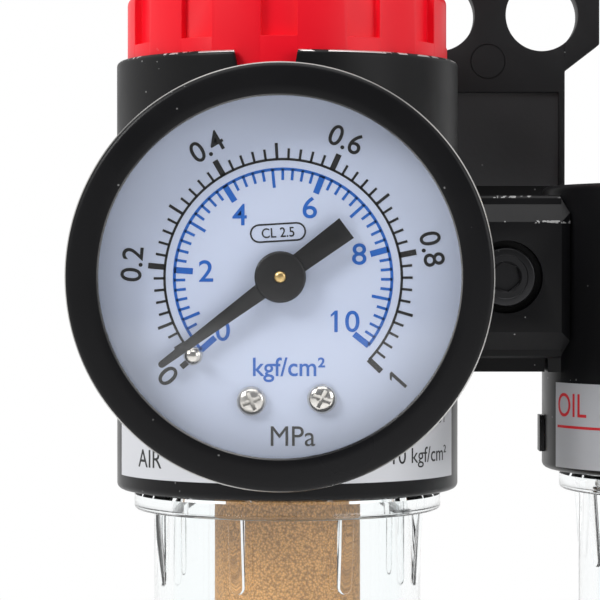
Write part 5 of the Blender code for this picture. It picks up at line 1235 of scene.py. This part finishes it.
def makeClampScrew(name, node, seat, facing):
    head, top = screwSet["head"], seat + 0.3 + screwSet["thick"]
    shank, under = screwSet["shank"], seat + 0.3
    profile = [(0, screwSet["tip"]), (shank - 0.35, screwSet["tip"]), (shank, screwSet["tip"] + 0.4)]
    level = screwSet["tip"] + 0.6
    while level + screwSet["pitch"] < under - 1:
        profile += [(shank - 0.25, level + 0.25), (shank - 0.25, level + 0.35), (shank, level + 0.6)]
        level += screwSet["pitch"]
    profile += [(shank, under), (head - 0.15, under), (head, under + 0.15), (head, top - 0.4)]
    profile += arc((head - 0.3, top - 0.3), 0.3, 0, 80, 3) + [(head - 0.85, top), (head - 0.95, top - 0.1), (0, top - 0.1)]
    screw = turnPiece(name, scaled(profile), 96)
    radius = screwSet["hex"] / math.sqrt(3)
    cutWith(screw, barPiece("hex", 6, radius * mm, (top - screwSet["hexDeep"]) * mm, (top + 1) * mm, math.radians(12)))
    cutWith(screw, coneCutter(radius, top))
    putAt(smooth(screw, 30), Matrix.Translation(jointAt) @ facing)
    dress(screw, finishes["screwBlack"], "casing", "steel", node)


def coneCutter(radius, top):
    # countersink round the hex
    return turnPiece("cone", scaled([(0, top - 0.55), (radius - 0.35, top - 0.55), (radius + 0.35, top + 0.2), (0, top + 0.2)]), 72)


bracketSet = {
    "plate": 4.0, "neck": 9.3, "neckTop": 25.7, "headFrom": 29.0, "head": 13.6, "top": 7.0, "corner": 3.0,
    "hole": 4.5, "holeX": 6.44, "holeRise": 32.7, "slot": 2.75, "slotTravel": 1.5,
}


def makeBracket():
    neck, head, top, corner = bracketSet["neck"], bracketSet["head"], bracketSet["top"], bracketSet["corner"]
    low = portZ / mm
    right = [(neck, low - neck), (neck, low + bracketSet["neckTop"]), (head, low + bracketSet["headFrom"])]
    right += arc((head - corner, top - corner), corner, 0, 90, 8)
    outline = right + [(-x, z) for x, z in reversed(right)]
    plate = outlinePiece("wallBracket", scaled(outline), 0, bracketSet["plate"] * mm)
    plate.matrix_world = alongMinusY
    bakePlace(plate)
    wall = -unitY / mm
    place = Matrix.Translation(jointAt)
    fuseWith(plate, putAt(turnedBlock("block", (-neck, 7.95, -neck), (neck, wall - 2, neck), 0), place))
    rise = neck - 0.3
    fuseWith(plate, putAt(turnedBlock("tongue", (-6.4, clampSet["back"], -rise), (6.4, 9.0, rise), 0), place))
    for side in (-1, 1):
        radius = clampSet["saddle"]
        drum = turnPiece("saddle", scaled([(0, -16), (radius, -16), (radius, 15), (0, 15)]), 160)
        cutWith(plate, putAt(drum, place @ Matrix.Translation((side * unitX, 0, 0))))
        x = side * bracketSet["holeX"]
        holePlace = Matrix.Translation((x * mm, 0, portZ + bracketSet["holeRise"] * mm)) @ alongMinusY
        cutBore(plate, bracketSet["hole"], -1.0, 6.0, holePlace, 96)
        half, travel = bracketSet["slot"], bracketSet["slotTravel"]
        slot = outlinePiece("slot", scaled(arc((x, travel), half, 0, 180, 24) + arc((x, -travel), half, 180, 360, 24)), -mm, 6 * mm)
        slot.matrix_world = alongMinusY
        bakePlace(slot)
        cutWith(plate, slot)
    roundEdges(plate, 0.25 * mm, 2, 35)
    panel = blockPiece("panel", (-(neck - 0.75) * mm, -5 * mm, portZ + 11.4 * mm), ((neck - 0.75) * mm, -3.5 * mm, portZ + 23.1 * mm), 0.15 * mm)
    cutWith(plate, panel)
    mark = turnPiece("ejectorMark", scaled([(2.05, 3.86), (2.2, 3.86), (2.2, 4.2), (2.05, 4.2)]), 72)
    mark.matrix_world = Matrix.Translation((-0.3 * mm, 0, portZ + 26.9 * mm)) @ alongMinusY
    bakePlace(mark)
    cutWith(plate, mark)
    cutBore(plate, clampSet["headBore"], wall - 11.7, wall + 1, place @ alongY, 72)
    cutBore(plate, 2.1, 5.0, wall - 11.0, place @ alongY, 36)
    smooth(plate, 30)
    dress(plate, finishes["plasticBlack"], "casing", "black_plastic", "bracket")
    plate.data.materials.append(finishes["panelBlack"])
    for face in plate.data.polygons:
        sunk = abs(face.center.y + 3.5 * mm) < 0.1 * mm and face.normal.y < -0.9
        if sunk and face.center.z > portZ + 11 * mm and face.center.z < portZ + 23.5 * mm:
            face.material_index = 1


makeFrontClamp()
makeClampScrew("clampScrewFront", "clamp_screw_front", 8.1, alongMinusY)
makeClampScrew("clampScrewRear", "clamp_screw_rear", -unitY / mm - 11.7, alongY)
makeBracket()
print("clamp and bracket made")


# clear bowls and what they hold

bowlSet = {"radius": 15.7, "wall": 2.2, "neck": 10.2, "rim": 18.0, "rimThick": 2.1, "rounding": 8.0, "ribs": 8}
ribSet = {"wide": 1.8, "long": 8.6, "reach": 0.95, "turn": -110.0}


def makeBowl(name, node, at, rimTop, length, body, drained):
    radius, rim = bowlSet["radius"], bowlSet["rim"]
    inner = radius - bowlSet["wall"]
    rimLow = rimTop - bowlSet["rimThick"]
    bend = rimLow - length
    round_ = bowlSet["rounding"]
    profile = [(inner, rimTop + bowlSet["neck"]), (radius - 0.3, rimTop + bowlSet["neck"])]
    level = rimTop + bowlSet["neck"] - 0.5
    while level > rimTop + 2.2:
        profile += [(radius, level), (radius, level - 0.35), (radius - 0.45, level - 0.75), (radius - 0.45, level - 1.1)]
        level -= 1.5
    profile += [(radius - 0.3, rimTop), (rim - 0.3, rimTop), (rim, rimTop - 0.3), (rim, rimLow + 0.5)]
    profile += arc((rim - 0.5, rimLow + 0.5), 0.5, -20, -90, 4) + [(radius + 0.2, rimLow), (radius, rimLow - 0.2)]
    middle = 5.0 if drained else 0.0
    for step in range(1, 15):
        angle = math.radians(90 * step / 14)
        profile.append((middle + (radius - middle) * math.cos(angle), bend - round_ * math.sin(angle)))
    floor = round_ - bowlSet["wall"]
    if drained:
        foot = bend - round_ - 6.5
        profile += [(5.0, foot + 0.4), (4.6, foot), (2.9, foot), (2.6, foot + 0.3), (2.6, bend - floor)]
    for step in range(13, -1, -1):
        angle = math.radians(90 * step / 14)
        profile.append((middle + (inner - middle) * math.cos(angle), bend - floor * math.sin(angle)))
    if not drained:
        profile = [(max(x, 0), y) for x, y in profile]
    bowl = turnPiece(name, scaled(profile), 128)
    bowl = fuseWith(bowl, makeRibs(radius, rimLow))
    putAt(smooth(bowl, 30), Matrix.Translation(at))
    dress(bowl, finishes["bowlClear"], body, "clear_plastic", node)


def makeRibs(radius, rimLow):
    # short ribs under the rim, rounded at their lower ends, modelled once and copied round
    half, long, reach = ribSet["wide"] / 2, ribSet["long"], ribSet["reach"]
    outline = [(-half, rimLow + 0.8), (half, rimLow + 0.8)]
    outline = arc((0, rimLow - long + half), half, 180, 360, 10) + [(half, rimLow + 0.8), (-half, rimLow + 0.8)]
    rib = outlinePiece("rib", scaled(outline), (radius - 0.9) * mm, (radius + reach) * mm)
    for point in rib.data.vertices:
        if point.co.z > radius * mm:
            drop = (rimLow * mm - point.co.y) / (long * mm)
            point.co.z -= max(0, drop) * 0.75 * reach * mm
    modifier = rib.modifiers.new("rounded", "BEVEL")
    modifier.width = 0.3 * mm
    modifier.segments = 3
    modifier.limit_method = "ANGLE"
    modifier.angle_limit = math.radians(50)
    applyModifier(rib, modifier)
    rib.matrix_world = alongMinusY
    bakePlace(rib)
    ribs = []
    for number in range(bowlSet["ribs"]):
        copy = rib.copy()
        copy.data = rib.data.copy()
        bpy.context.collection.objects.link(copy)
        turn = ribSet["turn"] + 90 + 360 * number / bowlSet["ribs"]
        copy.matrix_world = Matrix.Rotation(math.radians(turn), 4, "Z")
        bakePlace(copy)
        ribs.append(copy)
    bpy.data.objects.remove(rib)
    return joinAll(ribs, "ribs")


def turnedAt(name, profile, at, segments, material, body, slotName, *nodes, bevel=0.0):
    piece = turnPiece(name, scaled(profile), segments)
    if bevel:
        roundEdges(piece, bevel * mm, 2)
    putAt(smooth(piece, 30), Matrix.Translation(at))
    return dress(piece, material, body, slotName, *nodes)


def makeFilterParts():
    plain = finishes["acetal"]
    profile = [(5.55, -23.4), (8.35, -23.4), (8.55, -23.6), (8.55, -57.8), (8.35, -58.0), (5.55, -58.0)]
    turnedAt("filterElement", profile, regulatorAt, 128, finishes["bronze"], "casing", "sintered_bronze", "filter_element")
    low, high = edgesOf("element_baffle")
    bottom, top = (low.z - portZ) / mm, (high.z - portZ) / mm
    profile = [(2.3, bottom + 1.0), (9.6, bottom + 1.0)] + [(10.7, bottom), (11.0, bottom + 0.2)]
    profile += [(11.0, top - 1.0), (10.6, top - 0.6), (8.3, top - 0.3), (7.9, top), (2.3, top)]
    turnedAt("elementBaffle", profile, regulatorAt, 96, plain, "casing", "white_acetal", "element_baffle", bevel=0.1)
    low, high = edgesOf("drain_valve")
    makeDrainValve((low.z - portZ) / mm, (high.z - portZ) / mm)


def makeDrainValve(bottom, top):
    knob, stem, head = 4.2, 2.0, 3.6
    profile = [(0, top), (head - 0.4, top), (head, top - 0.4), (head, top - 1.6), (stem, top - 1.6), (stem, bottom + 6.0)]
    profile += [(knob - 0.5, bottom + 6.0), (knob, bottom + 5.5), (knob, bottom + 0.5), (knob - 0.5, bottom)]
    profile += [(1.4, bottom), (1.2, bottom + 0.3), (1.2, bottom + 2.5), (0, bottom + 2.5)]
    valve = turnPiece("drainValve", scaled(profile), 96)
    for number in range(16):
        cutWith(valve, turnedBlock("flute", (knob - 0.25, -0.3, bottom + 0.9), (knob + 1, 0.3, bottom + 5.2), number * 22.5))
    putAt(smooth(valve, 30), Matrix.Translation(regulatorAt))
    dress(valve, finishes["plasticBlack"], "drain", "black_plastic", "drain_valve")


def makeOilerParts():
    profile = [(6.7, 7.3), (9.4, 7.3), (9.6, 7.5), (9.6, 9.1), (9.4, 9.3), (8.2, 9.3), (8.2, 21.6)]
    profile += arc((6.2, 22.0), 2.0, 5, 88, 8) + [(2.9, 24.0), (2.9, 21.6), (5.4, 21.6)] + arc((5.4, 20.3), 1.3, 80, 0, 5)
    turnedAt("sightDome", profile, oilerAt, 128, finishes["bowlClear"], "casing", "clear_plastic", "sight_dome")
    profile = [(8.5, 9.6), (9.6, 9.6), (9.6, 10.9), (10.9, 10.9), (11.0, 11.0), (11.0, 12.8), (10.5, 13.3), (8.6, 13.3), (8.5, 13.2)]
    ring = turnPiece("domeRing", scaled(profile), 128)
    for number in range(24):
        cutWith(ring, turnedBlock("notch", (10.75, -0.35, 11.3), (12, 0.35, 14), number * 15))
    putAt(smooth(ring, 30), Matrix.Translation(oilerAt))
    dress(ring, finishes["plasticBlack"], "casing", "black_plastic", "dome_ring")
    makeDripKnob()
    profile = [(0.8, 16.1), (1.3, 16.1), (1.6, 16.5), (1.6, 20.1), (3.4, 20.1), (3.6, 20.3), (3.6, 21.1), (3.4, 21.3), (0.8, 21.3)]
    turnedAt("dripNozzle", profile, oilerAt, 64, finishes["brass"], "casing", "brass", "drip_nozzle")
    back = oilerAt + Vector((0, 6.5 * mm, 0))
    low, high = edgesOf("siphon_tube")
    bottom, top = (low.z - portZ) / mm, (high.z - portZ) / mm
    profile = [(1.1, bottom), (1.9, bottom), (1.9, top), (1.1, top)]
    turnedAt("siphonTube", profile, back, 64, finishes["bowlClear"], "casing", "clear_plastic", "siphon_tube")
    low, high = edgesOf("siphon_filter")
    bottom, top = (low.z - portZ) / mm, (high.z - portZ) / mm
    profile = [(0, bottom), (3.0, bottom), (3.4, bottom + 0.4), (3.4, top - 0.3), (3.1, top), (2.2, top), (2.2, bottom + 2.7), (0, bottom + 2.7)]
    turnedAt("siphonFilter", profile, back, 64, finishes["bronze"], "casing", "sintered_bronze", "siphon_filter")
    front = oilerAt - Vector((0, 15 * mm, 0))
    profile = [(0, 0.1), (2.1, 0.1), (2.2, 0.3), (2.2, 10.9), (3.2, 10.9), (3.4, 11.1), (3.4, 13.1), (3.0, 13.5), (0, 13.5)]
    plug = turnPiece("fillPlug", scaled(profile), 72)
    cutWith(plug, turnedBlock("slot", (-5, -0.5, 12.5), (5, 0.5, 15), 0))
    putAt(smooth(plug, 30), Matrix.Translation(front))
    dress(plug, finishes["brass"], "fill_plug", "brass", "oil_fill_plug")


def makeDripKnob():
    outer, low, high = 5.6, 24.3, 29.3
    profile = [(0, 21.9), (1.2, 21.9), (2.6, 22.7), (2.6, low), (outer - 0.2, low), (outer, low + 0.2), (outer, high - 0.5)]
    profile += [(outer - 0.5, high), (0, high)]
    knob = turnPiece("dripKnob", scaled(profile), 96)
    for number in range(18):
        cutWith(knob, turnedBlock("flute", (outer - 0.25, -0.35, low + 0.6), (outer + 1, 0.35, high + 1), number * 20))
    cutWith(knob, turnedBlock("slot", (-7, -0.5, high - 1.2), (7, 0.5, high + 1), 0))
    putAt(smooth(knob, 30), Matrix.Translation(oilerAt))
    dress(knob, finishes["plasticBlack"], "drip_knob", "black_plastic", "drip_adjuster")


makeBowl("filterBowl", "filter_bowl", regulatorAt, -25.0, 36.9, "filter_bowl_unit", True)
makeBowl("oilBowl", "oil_bowl", oilerAt, -22.7, 41.0, "oil_bowl_unit", False)
makeFilterParts()
makeOilerParts()
print("bowls and oil parts made")


# springs and diaphragm, copied from their CAD nodes and smoothed; the joints, give and anchors listed for them are not
# used

squeezeSet = {
    "regulating_spring": {"name": "regulatingSpring", "joint": "spring_seat_travel", "give": 2.0, "anchor": 0, "finish": "steel"},
    "valve_spring": {"name": "valveSpring", "joint": "valve_open", "give": 0.8, "anchor": 0, "finish": "steel"},
    "drain_spring": {"name": "drainSpring", "joint": "drain_push", "give": 2.0, "anchor": 1, "finish": "steel"},
    "diaphragm": {"name": "controlDiaphragm", "joint": "valve_open", "give": 0.8, "anchor": 0, "finish": "rubber"},
}


def makeSqueezedPieces():
    for node, facts in squeezeSet.items():
        piece = frame["nodes"][node].copy()
        piece.data = piece.data.copy()
        piece.parent = None
        piece.name = facts["name"]
        bpy.context.collection.objects.link(piece)
        pickOnly(piece)
        bpy.ops.object.mode_set(mode="EDIT")
        bpy.ops.mesh.select_all(action="SELECT")
        bpy.ops.mesh.remove_doubles(threshold=2e-6)
        bpy.ops.object.mode_set(mode="OBJECT")
        smooth(piece, 50)
        body = "filter_bowl_unit" if node == "drain_spring" else "casing"
        slotName = "rubber" if node == "diaphragm" else "steel"
        dress(piece, finishes[facts["finish"]], body, slotName, node)
        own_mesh(piece)


makeSqueezedPieces()
print("springs made")


# finishes of the pieces that keep their first shape

slotFinishes = {
    "black_enamel": "castBlack", "black_plastic": "plasticBlack", "red_plastic": "knobRed", "clear_plastic": "bowlClear",
    "dial_white": "dialWhite", "white_acetal": "acetal", "steel": "steel", "nickel": "nickel", "brass": "brass",
    "sintered_bronze": "bronze", "rubber": "rubber",
}


def dressKeptNodes():
    for node, piece in frame["nodes"].items():
        for place in piece.material_slots:
            slotName = place.material.name.split(".")[0] if place.material else "steel"
            place.material = finishes[slotFinishes.get(slotName, "steel")]


dressKeptNodes()
print("kept pieces dressed")
